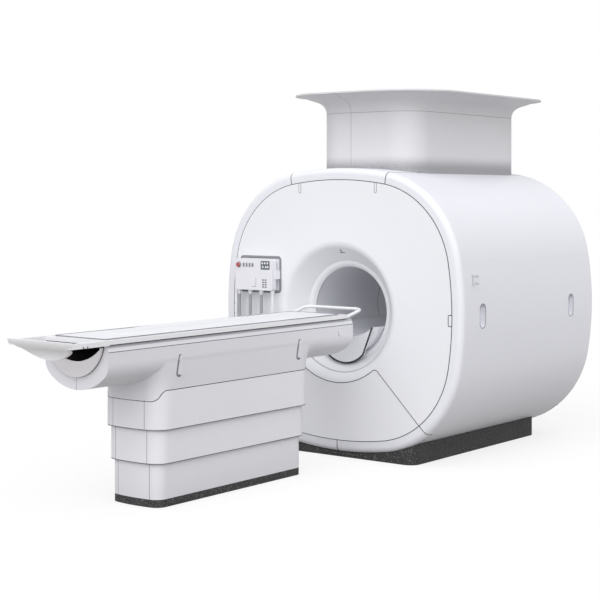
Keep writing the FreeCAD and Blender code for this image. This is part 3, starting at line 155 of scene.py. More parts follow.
class ScannerColours(bpy.types.PropertyGroup):
    """Colours of the finishes, as they look under white light."""

    cover: colour("Covers", "Moulded outer covers", "#EDEEF4")
    panel: colour("Panels", "Front and rear panels with their funnels", "#F1F2F6")
    shroud: colour("Shroud", "Painted sheet of the shroud", "#DFDEE1")
    skirt: colour("Skirts", "The table's telescopic skirts", "#ECEBF0")
    beam: colour("Beam", "The table's beam", "#E4E4E9")
    bore: colour("Bore", "Liner of the bore", "#E4E5EA")
    plate: colour("Bridge plate", "Front plate of the bridge", "#F3F4F9")
    plinth: colour("Plinths", "Grained plinths on the floor", "#3A3A3C")
    tabletop: colour("Tabletop", "Laminate of the tabletop", "#F2F2F5")
    trough: colour("Trough", "Channel that the tabletop runs in", "#D9D7D9")
    pad: colour("Mattress", "Coated cloth of the mattress", "#E9EAEE")
    gasket: colour("Gaskets", "Rubber between the covers", "#303136")
    hairline: colour("Hairlines", "Fine joints between sheets", "#72747A")


def sizes():
    return bpy.context.scene.scanner_sizes


def colours():
    return bpy.context.scene.scanner_colours


# ---------------------------------------------------------------- surfaces
def unit(vectors):
    return vectors / np.linalg.norm(vectors, axis=-1, keepdims=True)


def grid_quads(rows, columns, wrap_rows=False, wrap_columns=True):
    """Quads of a grid of points, row by row, joined end to end where it wraps."""
    i = np.arange(rows if wrap_rows else rows - 1)[:, None]
    j = np.arange(columns if wrap_columns else columns - 1)[None]
    k, m = (i + 1) % rows, (j + 1) % columns
    corners = (i * columns + j, i * columns + m, k * columns + m, k * columns + j)
    return np.stack(np.broadcast_arrays(*corners), -1).reshape(-1, 4)


def stacked(rings, closed=False):
    """Points and faces of rings joined one to the next. The stack closes on itself, or
    both its ends have a flat face."""
    rows, count = rings.shape[:2]
    faces = grid_quads(rows, count, wrap_rows=closed).tolist()
    if not closed:
        last = count * (rows - 1)
        faces += [list(range(count)), list(range(last, last + count))]
    return rings.reshape(-1, 3), faces


def strip(width, proud, sunk=0.0008):
    """Section of a seam's strip: a low dome over its width, sunk a little in the face.
    Its height over the face is proud times one less the fourth power of the share of
    its half width."""
    share = np.linspace(-1, 1, 7)
    top = np.stack([share * width / 2, proud * (1 - share**4)], -1)
    foot = np.array([[width / 2, -sunk], [-width / 2, -sunk]])
    return np.concatenate([top, foot])


def gasket(share=1.0):
    """Section of a gasket, at a share of its set width."""
    return strip(sizes().gasket_width * share, sizes().gasket_proud)


def hairline(share=1.0):
    """Section of a fine joint, at a share of its set width."""
    return strip(sizes().hairline_width * share, sizes().hairline_proud)


def rod(radius, count=10):
    """Section of a round rod: a circle about the path."""
    turn = np.linspace(0, 2 * np.pi, count, endpoint=False)
    return np.stack([np.cos(turn), np.sin(turn)], -1) * radius


def sweep(path, normals, section, closed=False, scale=1.0):
    """A section carried along a path. At each point of the path, the section's first
    number runs across, along tangent cross normal, and its second one along the normal.
    There is one normal for each point, or one for all."""
    path = np.asarray(path, float)
    normals = np.broadcast_to(unit(np.asarray(normals, float)), path.shape)
    if closed:
        tangent = unit(np.roll(path, -1, 0) - np.roll(path, 1, 0))
    else:
        tangent = unit(np.gradient(path, axis=0))
    across = unit(np.cross(tangent, normals))
    size = np.broadcast_to(scale, len(path))[:, None, None]
    rings = path[:, None] + size * (
        across[:, None] * section[None, :, :1] + normals[:, None] * section[None, :, 1:]
    )
    return stacked(rings, closed)


def upright_ring(plan, out, level, section):
    """A section carried round a plan, facing outward, at one level or at one for each
    point."""
    path = np.column_stack([plan, np.broadcast_to(level, len(plan))])
    return sweep(path, np.column_stack([out, np.zeros(len(out))]), section, closed=True)


def turned(centre, radii, places, axis=2, count=24):
    """A profile turned about a line along an axis through the centre: at each place
    along it the surface is a circle of that radius."""
    turn = np.linspace(0, 2 * np.pi, count, endpoint=False)
    rings = np.empty((len(radii), count, 3))
    rings[..., axis] = places[:, None]
    rings[..., (axis + 1) % 3] = radii[:, None] * np.cos(turn)
    rings[..., (axis + 2) % 3] = radii[:, None] * np.sin(turn)
    return stacked(rings + centre)


def pillows(centres, half_width, half_height, proud, face):
    """Flat-topped keys on a face that looks along -Y. Over each centre the height is
    proud times one less the eighth power of how far the point lies out, on the rounder
    measure of a square with soft corners, and each key closes on a back in the face."""
    steps, soft, sunk, back_share = 9, 0.12, 0.0006, 0.8
    share = np.linspace(-1, 1, steps)
    u, v = np.meshgrid(share, share, indexing="ij")
    squeeze = 1 - soft * np.abs(u * v) ** 3
    out = np.maximum(np.abs(u), np.abs(v))
    rise = np.where(out < 1, proud * (1 - out**8), -sunk)
    front = np.stack([u * half_width * squeeze, -rise, v * half_height * squeeze], -1)
    back = front * np.where(out < 1, back_share, 1.0)[..., None]
    back[..., 1] = sunk
    quads = grid_quads(steps, steps, wrap_columns=False)
    faces = np.concatenate([quads, quads[:, ::-1] + steps**2])
    shape = np.concatenate([front, back]).reshape(-1, 3)
    spots = on_face(centres, face)
    step = np.arange(len(spots))[:, None, None] * len(shape)
    return (spots[:, None] + shape).reshape(-1, 3), (faces + step).reshape(-1, 4).tolist()


def on_face(places, face):
    """Places across and up as points of a face that looks along -Y."""
    return np.insert(np.asarray(places, float), 1, face, axis=1)


def gather(*parts):
    """Several sets of points and faces as one."""
    points, faces, start = [], [], 0
    for some_points, some_faces in parts:
        points.append(some_points)
        faces += [[start + i for i in face] for face in some_faces]
        start += len(some_points)
    return np.concatenate(points), faces


def mirrored(part, axis=0, middle=0.0):
    """The same surface on the other side of the plane across an axis at its middle."""
    points, faces = part[0].copy(), part[1]
    points[:, axis] = 2 * middle - points[:, axis]
    return points, [face[::-1] for face in faces]


def both_sides(*parts, axis=0, middle=0.0):
    """Parts and their mirror images as one."""
    return gather(*parts, *(mirrored(part, axis, middle) for part in parts))


def mesh_points(mesh):
    """All points of a mesh as one array."""
    flat = np.empty(len(mesh.vertices) * 3, np.float32)
    mesh.vertices.foreach_get("co", flat)
    return flat.reshape(-1, 3)


def build(name, part, finish, body, sharp=35):
    """A finished piece from points and faces: doubles merged, faces turned outward and
    smooth up to the sharp angle. It rides on its body."""
    points, faces = part
    mesh = bpy.data.meshes.new(name)
    mesh.from_pydata(points.tolist(), [], faces)
    work = bmesh.new()
    work.from_mesh(mesh)
    bmesh.ops.remove_doubles(work, verts=work.verts, dist=1e-6)
    bmesh.ops.recalc_face_normals(work, faces=work.faces)
    work.to_mesh(mesh)
    work.free()
    mesh.shade_smooth()
    mesh.set_sharp_from_angle(angle=math.radians(sharp))
    mesh.materials.append(bpy.data.materials[finish])
    piece = bpy.data.objects.new(name, mesh)
    bpy.context.scene.collection.objects.link(piece)
    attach(piece, body)
    return piece


# ---------------------------------------------------------------- the covers' outline
def meeting(first, first_reach, second, second_reach):
    """Where the circles about two centres meet, on the left of the way between them."""
    gap = np.array(second) - np.array(first)
    far = np.linalg.norm(gap)
    along = (first_reach**2 - second_reach**2 + far**2) / (2 * far)
    side = math.sqrt(first_reach**2 - along**2)
    ahead = gap / far
    return np.array(first) + ahead * along + np.array([-ahead[1], ahead[0]]) * side


CORNER = meeting(
    (HALF_WIDTH - SIDE_ARC, 0), SIDE_ARC - CORNER_ARC,
    (0, HALF_HEIGHT - CROWN_ARC), CROWN_ARC - CORNER_ARC,
)
SIDE_TURN = math.atan2(CORNER[1], CORNER[0] - HALF_WIDTH + SIDE_ARC)
CORNER_TURN = math.atan2(CORNER[1] - HALF_HEIGHT + CROWN_ARC, CORNER[0])


def outline_arc(angles):
    """Centre and radius of the arc that faces each outward angle."""
    turn = np.arctan2(np.abs(np.sin(angles)), np.abs(np.cos(angles)))
    where = [turn < SIDE_TURN, turn < CORNER_TURN]
    across = np.select(where, [HALF_WIDTH - SIDE_ARC, CORNER[0]], 0.0) * np.sign(np.cos(angles))
    up = np.select(where, [0.0, CORNER[1]], HALF_HEIGHT - CROWN_ARC) * np.sign(np.sin(angles))
    return across, up, np.select(where, [SIDE_ARC, CORNER_ARC], CROWN_ARC)


def outline(angles, inset, y):
    """Points of the covers' outline: each arc's centre, plus its radius less the inset
    along the outward angle."""
    across, up, radius = outline_arc(angles)
    x = across + (radius - inset) * np.cos(angles)
    z = OUTLINE_LEVEL + up + (radius - inset) * np.sin(angles)
    return np.stack(np.broadcast_arrays(x, y, z), -1)


def even_angles(start, end, count):
    """Outward angles from start to end that lie evenly along the outline."""
    fine = np.linspace(start, end, 4000)
    run = np.cumsum(outline_arc(fine)[2]) * abs(end - start) / len(fine)
    return np.interp(np.linspace(run[0], run[-1], count), run, fine)


def over_edge(angle_at, end, lip=5, bend=13):
    """A seam that crosses the covers' front edge: over the lip's face, round the edge
    and back along the skin to y = -end. angle_at gives its outward angle at each inset,
    and lip and bend say how many points lie on the lip and round the edge. Returns
    points and normals."""
    lean = np.radians(np.concatenate([np.zeros(lip), np.linspace(0, 90, bend), [90, 90]]))
    inset = EDGE_ROUND * (1 - np.sin(lean))
    inset[:lip] = np.linspace(PANEL_INSET, EDGE_ROUND + 0.004, lip)
    y = EDGE_ROUND - COVER_FACE - EDGE_ROUND * np.cos(lean)
    y[-2:] = y[-3] + 0.01, -end
    angles = angle_at(inset)
    out = [np.sin(lean) * np.cos(angles), -np.cos(lean), np.sin(lean) * np.sin(angles)]
    return outline(angles, inset, y), np.stack(out, -1)


def split_angle(inset):
    """Outward angle at which the slanting split line, on which x and z have one sum,
    crosses the outline on its lower right corner arc."""
    reach = CORNER_ARC - inset
    rest = SPLIT_SUM - OUTLINE_LEVEL - CORNER[0] + CORNER[1]
    return np.pi / 4 - np.arccos(rest / (reach * math.sqrt(2)))


def arc(centre, radius, start, end, count, y):
    """Points of an arc that faces the front, between two angles in degrees."""
    turn = np.radians(np.linspace(start, end, count))
    x, z = centre[0] + radius * np.cos(turn), centre[1] + radius * np.sin(turn)
    return np.stack(np.broadcast_arrays(x, y, z), -1)


def split_line():
    """The joint over the lower front panel, from the right edge to the middle: a slanting
    line, a horn rounded by 32 mm that touches both, and the funnel's own circle."""
    circle, soft, face = 0.4844, 0.032, -PANEL_FACE
    total = SPLIT_SUM - soft * math.sqrt(2)
    half = (total - BORE_LEVEL) / 2
    up = half - math.sqrt((circle + soft) ** 2 / 2 - half**2)
    horn = (total - BORE_LEVEL - up, BORE_LEVEL + up)
    bearing = math.degrees(math.atan2(up, horn[0]))
    edge = outline(split_angle(PANEL_INSET), PANEL_INSET, face)
    rounded = arc(horn, soft, 45, bearing + 180, 14, face)
    slant = np.linspace(edge, rounded[0], 8)[:-1]
    around = arc((0, BORE_LEVEL), circle, bearing - 1, -90, 40, face)
    return np.concatenate([slant, rounded, around])


def both_ways(path):
    """A path that starts on the right and ends in the middle, carried on to the left."""
    return np.concatenate([path, path[-2::-1] * [-1, 1, 1]])


# ---------------------------------------------------------------- plans
def pedestal_plan(growth, count=24):
    """The pedestal's plan all the way round, grown by growth, and its outward normals.
    The right half runs from the foot end to the head end: end arc, corner arc, straight
    side, corner arc, end arc."""
    corner_x = TABLE_HALF_WIDTH - TABLE_CORNER
    end_y = TABLE_HALF_LENGTH - TABLE_END_ARC
    corner_y = end_y + math.sqrt((TABLE_END_ARC - TABLE_CORNER) ** 2 - corner_x**2)
    turn = math.atan2(corner_x, corner_y - end_y)
    bearing = np.concatenate([np.linspace(0, turn, count), np.linspace(turn, np.pi / 2, count)])
    out = np.stack([np.sin(bearing), np.cos(bearing)], -1)
    reach = np.repeat([TABLE_END_ARC, TABLE_CORNER], count) + growth
    quarter = np.repeat([[0, end_y], [corner_x, corner_y]], count, axis=0) + reach[:, None] * out
    rings = []
    for piece, middle in ((quarter, TABLE_CENTRE), (out, 0.0)):
        half = np.concatenate([piece * [1, -1], piece[::-1]]) + [0, middle]
        rings.append(np.concatenate([half, (half * [-1, 1])[-2:0:-1]]))
    return rings


def rounded_plan(half_x, half_y, corner, centre_y, count=16):
    """Plan of a rounded box and its outward normals: four corner arcs joined by straight
    sides."""
    turn = np.linspace(0, np.pi / 2, count)
    bearing = (np.arange(4)[:, None] * np.pi / 2 + turn).ravel()
    sign_x, sign_y = np.array([1, -1, -1, 1]), np.array([1, 1, -1, -1])
    x = np.repeat(sign_x * (half_x - corner), count) + corner * np.cos(bearing)
    y = np.repeat(sign_y * (half_y - corner), count) + corner * np.sin(bearing) + centre_y
    return np.stack([x, y], -1), np.stack([np.cos(bearing), np.sin(bearing)], -1)


def skirt_line(y):
    """Height of the upper skirt's top line: level, then two arcs of 62 mm radius down to
    a level 62 mm lower round the foot end."""
    dip, bend, reach, drop = 0.062, 0.062, 0.0255, 0.0565
    start = TABLE_CENTRE - TABLE_HALF_LENGTH + 0.04
    first = NECK_LEVEL - drop + np.sqrt(np.maximum(bend**2 - (y - start - reach) ** 2, 0))
    low = NECK_LEVEL - dip
    second = low + drop - np.sqrt(np.maximum(bend**2 - (y - start + dip + reach) ** 2, 0))
    where = [y > start, y > start - dip / 2, y > start - dip]
    return np.select(where, [NECK_LEVEL, first, second], low)


# ---------------------------------------------------------------- finishes
# How much the covers and skirts grey towards the floor, and the grey they take
LOW_GREYING = (0.35, "#8C8985")


def add(tree, kind, settings=None, links=None):
    """Add one node. settings are its attributes and links its sockets, each fed by
    another node's socket or set to a value."""
    node = tree.nodes.new(kind)
    for name, value in (settings or {}).items():
        setattr(node, name, value)
    for name, value in (links or {}).items():
        if isinstance(value, bpy.types.NodeSocket):
            tree.links.new(value, node.inputs[name])
        else:
            node.inputs[name].default_value = value
    return node


def empty_tree(owner):
    """The node tree of a material or a world, with nothing in it."""
    owner.use_nodes = True
    owner.node_tree.nodes.clear()
    return owner.node_tree


def per_metre(millimetres):
    """Pattern scale for a grain of that size."""
    return 1000.0 / millimetres


def shade(tone, factor):
    return tuple(min(1.0, c * factor) for c in tone) + (1.0,)


def finish(
    name, tone, roughness, grain, bump, mottle=0.97, patch=400, metallic=0.0, coat=0.0,
    ior=1.5, sheen=0.0, stretch=(1, 1, 1), low_darkening=None, speckle=None, shade_past=None,
):
    """One finish on Object coordinates. grain and patch are the sizes in millimetres of
    the fine relief and of the slow change of tone, mottle how dark that change gets, and
    stretch lengthens the grain. The darkening low down is given by the height in metres
    where it starts, the height where it is full, how much of it there is and its colour:
    painted shade on the shroud's sheet, a greying towards the floor on the covers and
    skirts. speckle is the colour of the grain's worn tips, and the painted shade on Y is
    given by a place in metres, past which the surface is painted dark."""
    tree = empty_tree(bpy.data.materials.new(name))
    place = add(tree, "ShaderNodeTexCoord").outputs["Object"]
    grained = add(
        tree, "ShaderNodeMapping", None, {"Vector": place, "Scale": stretch}
    ).outputs["Vector"]
    slow = add(
        tree, "ShaderNodeTexNoise", None,
        {"Vector": place, "Scale": per_metre(patch), "Detail": 4.0, "Roughness": 0.6},
    ).outputs["Fac"]
    fine = add(
        tree, "ShaderNodeTexNoise", None,
        {"Vector": grained, "Scale": per_metre(grain), "Detail": 3.0, "Roughness": 0.55},
    ).outputs["Fac"]
    base = add(
        tree, "ShaderNodeMix", {"data_type": "RGBA"},
        {"Factor": slow, "A": shade(tone, mottle), "B": shade(tone, 1.0 + (1 - mottle) / 2)},
    ).outputs["Result"]
    layers = []
    # A darker tone low down: painted shade at the shroud's foot, a greying towards the floor on
    # covers and skirts
    if low_darkening:
        start, full, amount, dark_tone = low_darkening
        height = add(tree, "ShaderNodeSeparateXYZ", None, {"Vector": place}).outputs["Z"]
        low = add(
            tree, "ShaderNodeMapRange", {"interpolation_type": "SMOOTHSTEP"},
            {"Value": height, "From Min": start, "From Max": full, "To Max": amount},
        ).outputs["Result"]
        darkened = add(tree, "ShaderNodeMath", {"operation": "MULTIPLY"}, {0: low, 1: fine})
        layers.append((darkened.outputs["Value"], dark_tone))
    if speckle:
        tips = add(
            tree, "ShaderNodeMapRange", None,
            {"Value": fine, "From Min": 0.56, "From Max": 0.7, "To Max": 0.6},
        )
        layers.append((tips.outputs["Result"], speckle))
    # Past a place on Y the surface turns dark: painted shade in the trough's hollow
    if shade_past:
        edge, shade_tone = shade_past
        along = add(tree, "ShaderNodeSeparateXYZ", None, {"Vector": place}).outputs["Y"]
        in_shade = add(tree, "ShaderNodeMath", {"operation": "GREATER_THAN"}, {0: along, 1: edge})
        layers.append((in_shade.outputs["Value"], shade_tone))
    for share, hexa in layers:
        base = add(
            tree, "ShaderNodeMix", {"data_type": "RGBA"},
            {"Factor": share, "A": base, "B": linear(hexa) + (1.0,)},
        ).outputs["Result"]
    play = 0.06
    worn = add(
        tree, "ShaderNodeMapRange", None,
        {"Value": slow, "To Min": roughness - play, "To Max": roughness + play},
    ).outputs["Result"]
    relief = add(
        tree, "ShaderNodeBump", None,
        {"Height": fine, "Strength": bump, "Distance": grain / 1000 * 0.2},
    ).outputs["Normal"]
    shader = add(
        tree, "ShaderNodeBsdfPrincipled", None,
        {
            "Base Color": base, "Roughness": worn, "Normal": relief, "Metallic": metallic,
            "IOR": ior, "Coat Weight": coat, "Coat Roughness": 0.12, "Sheen Weight": sheen,
        },
    ).outputs["BSDF"]
    add(tree, "ShaderNodeOutputMaterial", None, {"Surface": shader})


def make_finishes():
    """Every finish of the object, by its real name."""
    tone = colours()
    # Moulded polyurethane under satin paint: soft wide highlights, faint orange peel.
    # The peel is 2 mm on the real one, drawn at 9 mm so that it shows.
    finish("painted_moulding", tone.cover, 0.46, 9, 0.05, patch=700, low_darkening=(0.2, 0, *LOW_GREYING))
    finish("painted_panel", tone.panel, 0.38, 9, 0.04, patch=700, coat=0.12)
    # Steel sheet under satin paint: flatter than the mouldings, slight roller texture, and painted
    # shade low down, a dark band where the roof's crown shades the shroud's foot
    finish(
        "painted_sheet", tone.shroud, 0.5, 5, 0.06, patch=500, low_darkening=(2.07, 1.965, 1.25, "#5E5F63"),
    )
    # Vacuum-formed ABS: matt skirts with a very fine leather grain, drawn at 4 mm
    finish("formed_abs", tone.skirt, 0.55, 4, 0.08, patch=350, low_darkening=(0.3, 0, *LOW_GREYING))
    # The beam and the bridge's plate are of painted moulding too, less glossy
    finish("moulded_beam", tone.beam, 0.46, 6, 0.05, patch=500)
    finish("moulded_plate", tone.plate, 0.5, 6, 0.05, patch=200)
    # Glass-fibre tube with a matt gel coat: long fibres just print through along the bore
    finish("gelcoat_liner", tone.bore, 0.6, 12, 0.1, patch=250, stretch=(1, 0.2, 1))
    # Structured polyethylene: dark, with a coarse leather grain of 3 mm whose worn tips
    # catch the light, drawn at 9 mm
    finish(
        "grained_plinth", tone.plinth, 0.7, 9, 0.9, mottle=0.6, patch=12, ior=1.35,
        speckle="#97948F",
    )
    # High-pressure laminate: even, dense, slightly glossy
    finish("white_laminate", tone.tabletop, 0.3, 8, 0.02, patch=400, coat=0.2)
    # The trough's end wall is bare, and its bed behind is painted dark: painted shade in the deep
    # hollow under the tabletop's foot end
    finish("pale_laminate", tone.trough, 0.5, 8, 0.03, patch=400, shade_past=(-3.3508, "#2C2B2B"))
    # Polyurethane-coated cloth: soft sheen, fine pebble of 1.5 mm drawn at 3 mm
    finish("coated_cloth", tone.pad, 0.48, 3, 0.12, mottle=0.95, patch=180, sheen=0.15)
    # Injection-moulded polycarbonate housing and caps, spark-eroded texture
    finish("moulded_housing", linear("#ECECF1"), 0.45, 2, 0.1, patch=120)
    finish("key_cap", linear("#85878D"), 0.5, 1.5, 0.1, mottle=0.9, patch=20)
    finish("red_cap", linear("#B9545A"), 0.35, 3, 0.03, mottle=0.92, patch=15, coat=0.2)
    # Acrylic window over a dark screen: smooth, mirror-like, slightly blue
    finish("screen_window", linear("#5F666F"), 0.14, 30, 0.0, mottle=0.8, patch=30, coat=0.6)
    # Cold-rolled and welded steel: long brushed lines of 1 mm
    finish(
        "brushed_vessel", linear("#B7B9BC"), 0.34, 1.5, 0.15, mottle=0.86, patch=150,
        metallic=1.0, stretch=(0.04, 1, 1),
    )
    # Filled epoxy, cast: amber brown, slightly waxy
    finish("cast_resin", linear("#8A6A42"), 0.45, 10, 0.2, mottle=0.8, patch=90)
    # Powder-coated steel: matt mid grey with a fine orange peel
    finish("powder_coat", linear("#8B8E93"), 0.55, 1.8, 0.3, mottle=0.9, patch=100)
    # Drawn aluminium tube: fine lines upward, silvery
    finish(
        "drawn_aluminium", linear("#B9BBBF"), 0.32, 1.2, 0.12, mottle=0.9, patch=120,
        metallic=1.0, stretch=(1, 1, 0.03),
    )
    # Stainless steel, polished: bright, sharp reflections
    finish("polished_steel", linear("#D5D6D9"), 0.12, 4, 0.02, mottle=0.92, patch=30, metallic=1.0)
    # Extruded rubber: dark, matt, dusty in places. The same dark also serves as a painted shadow
    # line under the tabletop's edge
    finish("rubber_gasket", tone.gasket, 0.7, 2, 0.2, mottle=0.85, patch=90)
    # The shaded gap between two sheets
    finish("joint_shadow", tone.hairline, 0.65, 2, 0.1, mottle=0.92, patch=90)
    # Filled and painted over: a joint of the shroud's sheets that barely shows
    finish("filled_joint", linear("#9B9A9C"), 0.6, 3, 0.1, mottle=0.94, patch=60)
    # Elastic grey filler in the funnel's ring, the same grey painted as shade along the beam's
    # rims, and the soft polyamide of the conduits' sleeves
    finish("ring_filler", linear("#BFC0C5"), 0.5, 3, 0.1, mottle=0.94, patch=60)
    finish("ribbed_sleeve", linear("#A4A6AB"), 0.5, 2, 0.15, mottle=0.88, patch=40)
    # Piping welded from the same coated cloth in grey: a thin dark line round the mattress
    finish("grey_piping", linear("#85888E"), 0.5, 2, 0.1, mottle=0.92, patch=60)
    # Painted shadow round the control box: matt mid grey with a fine grain
    finish("grey_foam", linear("#8E9096"), 0.8, 3, 0.3, mottle=0.85, patch=30)
    # Screen-printed ink: grey, as smooth as what it lies on
    finish("grey_print", linear("#7E8087"), 0.5, 2, 0.05, mottle=0.92, patch=20)


FINISH_OF_SLOT = {
    "cover_white": "painted_moulding",
    "panel_white": "painted_panel",
    "shroud_white": "painted_sheet",
    "skirt_grey": "formed_abs",
    "beam_grey": "moulded_beam",
    "bore_grey": "gelcoat_liner",
    "plate_grey": "moulded_plate",
    "plinth_dark": "grained_plinth",
    "tabletop_white": "white_laminate",
    "trough_pale": "pale_laminate",
    "pad": "coated_cloth",
    "box_white": "moulded_housing",
    "key_grey": "key_cap",
    "stop_red": "red_cap",
    "display_dark": "screen_window",
    "magnet_steel": "brushed_vessel",
    "coil_resin": "cast_resin",
    "frame_steel": "powder_coat",
    "column_aluminium": "drawn_aluminium",
    "bright_metal": "polished_steel",
}


class SCANNER_OT_finishes(bpy.types.Operator):
    """Make every finish and give each solid the one of its slot"""

    bl_idname = "scanner.finishes"
    bl_label = "Finishes"

    def execute(self, context):
        make_finishes()
        for row in frame["record"]["subparts"]:
            solid = frame["nodes"][row["node"]]
            material = bpy.data.materials[FINISH_OF_SLOT[row["material_slot"]]]
            if not solid.material_slots:
                solid.data.materials.append(material)
            for place in solid.material_slots:
                place.material = material
        return {"FINISHED"}


# ---------------------------------------------------------------- seams of the covers
def cover_gaskets():
    """Gaskets of the gantry: round both panels, over the roof, under the split lines
    and round behind the lower bands."""
    size, flush = sizes(), gasket()
    raised = strip(size.gasket_width, PANEL_FACE - COVER_FACE + size.gasket_proud)
    ring = outline(even_angles(0, 2 * np.pi, 361)[:-1], PANEL_INSET, -COVER_FACE)
    panel_ring = sweep(ring, FRONT, raised, closed=True)
    crossing = over_edge(lambda inset: np.arccos(ROOF_SEAM / (CROWN_ARC - inset)), 0.02)
    roof = [np.concatenate([half, half[::-1] * [1, -1, 1]]) for half in crossing]
    corner_seam = sweep(*over_edge(split_angle, BAND_END), flush)
    foot = over_edge(lambda inset: np.full_like(inset, -np.pi / 2), BAND_END)
    end = split_angle(0.0)
    angles = even_angles(end, -np.pi - end, 160)
    outward = np.stack([np.cos(angles), np.zeros_like(angles), np.sin(angles)], -1)
    belt_seam = sweep(outline(angles, 0.0, -BAND_END), outward, flush)
    ends = both_sides(panel_ring, both_sides(corner_seam), belt_seam, axis=1)
    return gather(ends, both_sides(sweep(*roof, flush)), sweep(*foot, flush))


def panel_joints():
    """Dark joints on the front panel: round the lower panel's top and the latches."""
    face, inner, soft, level, half, drop = -PANEL_FACE, 0.901, 0.008, 0.973, 0.0363, 0.066
    edge = HALF_WIDTH - SIDE_ARC + math.sqrt((SIDE_ARC - PANEL_INSET) ** 2 - drop**2)
    notch = np.concatenate([
        [[edge, face, level + half]],
        arc((inner, level + half - soft), soft, 90, 180, 6, face),
        arc((inner, level - half + soft), soft, 180, 270, 6, face),
        [[edge, face, level - half]],
    ])
    split = sweep(both_ways(split_line()), FRONT, gasket(0.9))
    return gather(split, both_sides(sweep(notch, FRONT, gasket())))


def tab_joints():
    """Fine joints round the two tabs at the panel's top edge: down one side, round the
    foot and up the other side to the gasket."""
    half, across, low, face = 0.0088, 0.32, 1.809, -PANEL_FACE
    sides = np.array([across - half, across + half])
    reach = np.sqrt((CROWN_ARC - PANEL_INSET) ** 2 - sides**2)
    tops = on_face(np.stack([sides, OUTLINE_LEVEL + HALF_HEIGHT - CROWN_ARC + reach], -1), face)
    feet = on_face(np.stack([sides, np.full(2, low + 0.004)], -1), face)
    path = np.concatenate([
        np.linspace(tops[0], feet[0], 6),
        arc((across, low), half, 180, 360, 13, face),
        np.linspace(feet[1], tops[1], 6),
    ])
    return both_sides(sweep(path, FRONT, hairline(1.2)))


def side_skin(along, up):
    """Points and outward normals of the right side cover: its x is the side arc's centre
    plus the root of the squared radius less the squared height off the level line."""
    rise = up - OUTLINE_LEVEL
    run = np.sqrt(SIDE_ARC**2 - rise**2)
    points = np.stack([HALF_WIDTH - SIDE_ARC + run, along, up], -1)
    return points, np.stack([run, np.zeros_like(run), rise], -1) / SIDE_ARC


def grip_edges():
    """Dark edging round the four finger grips of the side covers: a ring of two half
    circles, flattened at its sides, joined by straight runs."""
    turn = np.linspace(0, 2 * np.pi, 73)[:-1]
    half_width, half_length, level = 0.036, 0.08, 0.993
    straight = (half_length - half_width) * np.sign(np.sin(turn))
    up = level + half_width * np.sin(turn) + straight
    rings = (side_skin(middle + half_width * np.cos(turn), up) for middle in GRIPS)
    return both_sides(*(sweep(*ring, gasket(0.9), closed=True) for ring in rings))


class SCANNER_OT_cover_seams(bpy.types.Operator):
    """Lay the gaskets and joints of the gantry's covers and panels"""

    bl_idname = "scanner.cover_seams"
    bl_label = "Cover seams"

    def execute(self, context):
        build("cover_gaskets", cover_gaskets(), "rubber_gasket", "gantry")
        build("panel_joints", panel_joints(), "rubber_gasket", "gantry")
        build("tab_hairlines", tab_joints(), "joint_shadow", "gantry")
        build("grip_edging", grip_edges(), "joint_shadow", "gantry")
        return {"FINISHED"}


# ---------------------------------------------------------------- funnel and bore
def on_funnel(across, up):
    """Points of the funnel's cone and their normals, from places off the bore's middle:
    y grows by the slope as the radius shrinks from the mouth's."""
    radius = np.hypot(across, up)
    y = MOUTH_Y + (MOUTH_RADIUS - radius) * FUNNEL_SLOPE
    inward = -np.stack([across, np.zeros_like(up), up], -1) / radius[..., None]
    return np.stack([across, y, BORE_LEVEL + up], -1), inward * FUNNEL_SLOPE + FRONT


def funnel_ring():
    """A shallow ring in the funnel's lower half, on the funnel's slope, that thins out
    towards both its ends."""
    radius, width = sizes().funnel_ring_radius, sizes().funnel_ring_width
    turn = np.radians(np.linspace(-172, -8, 90))
    fade = np.clip(np.sin(np.linspace(0, np.pi, 90)) * 2.2, 0.04, 1)
    ring = on_funnel(radius * np.cos(turn), radius * np.sin(turn))
    return sweep(*ring, strip(width, 0.0012, 0.001), scale=fade)


def bridge_edging():
    """Dark edging along the bridge's front plate: down both leaning sides and round the
    foot arc."""
    y, foot_half, foot, top_half, top, bend = -0.837, 0.157, 0.702, 0.2315, 0.8885, 0.212
    centre = foot + math.sqrt(bend**2 - foot_half**2)
    turn = math.degrees(math.asin(foot_half / bend))
    side = np.linspace((top_half, y, top), (foot_half + 0.004, y, foot + 0.012), 7)
    path = both_ways(np.concatenate([side, arc((0, centre), bend, turn - 91, -90, 30, y)]))
    return sweep(path, FRONT, strip(0.013, 0.0025))


def bore_rings():
    """Joints of the liner over the bridge's ledges: one at each funnel's lip, and one at
    the middle of the bore."""
    parts = []
    for y in (-0.7575, -0.006, 0.7575):
        path = arc((0, BORE_LEVEL), BORE_RADIUS, -19, 199, 90, y)
        parts.append(sweep(path, np.array([0, y, BORE_LEVEL]) - path, strip(0.006, 0.0004)))
    return gather(*parts)


def positioning_window():
    """The window of the positioning light over the bore: a small dark cross stroke and
    its level line, bent to the funnel's slope."""
    share = np.linspace(-1, 1, 9)
    level = on_funnel(share * 0.024, np.full(9, 0.4))
    stroke = on_funnel(np.full(9, -0.002), 0.4125 + share * 0.0125)
    return gather(*(sweep(*line, strip(0.008, 0.0006)) for line in (level, stroke)))


class SCANNER_OT_bore_trims(bpy.types.Operator):
    """Make the ring, edging and positioning window of the funnel and bore"""

    bl_idname = "scanner.bore_trims"
    bl_label = "Bore trims"

    def execute(self, context):
        build("funnel_ring", funnel_ring(), "ring_filler", "gantry")
        build("bridge_edging", bridge_edging(), "rubber_gasket", "gantry")
        build("bore_joints", bore_rings(), "joint_shadow", "gantry")
        build("positioning_window", positioning_window(), "rubber_gasket", "gantry")
        return {"FINISHED"}


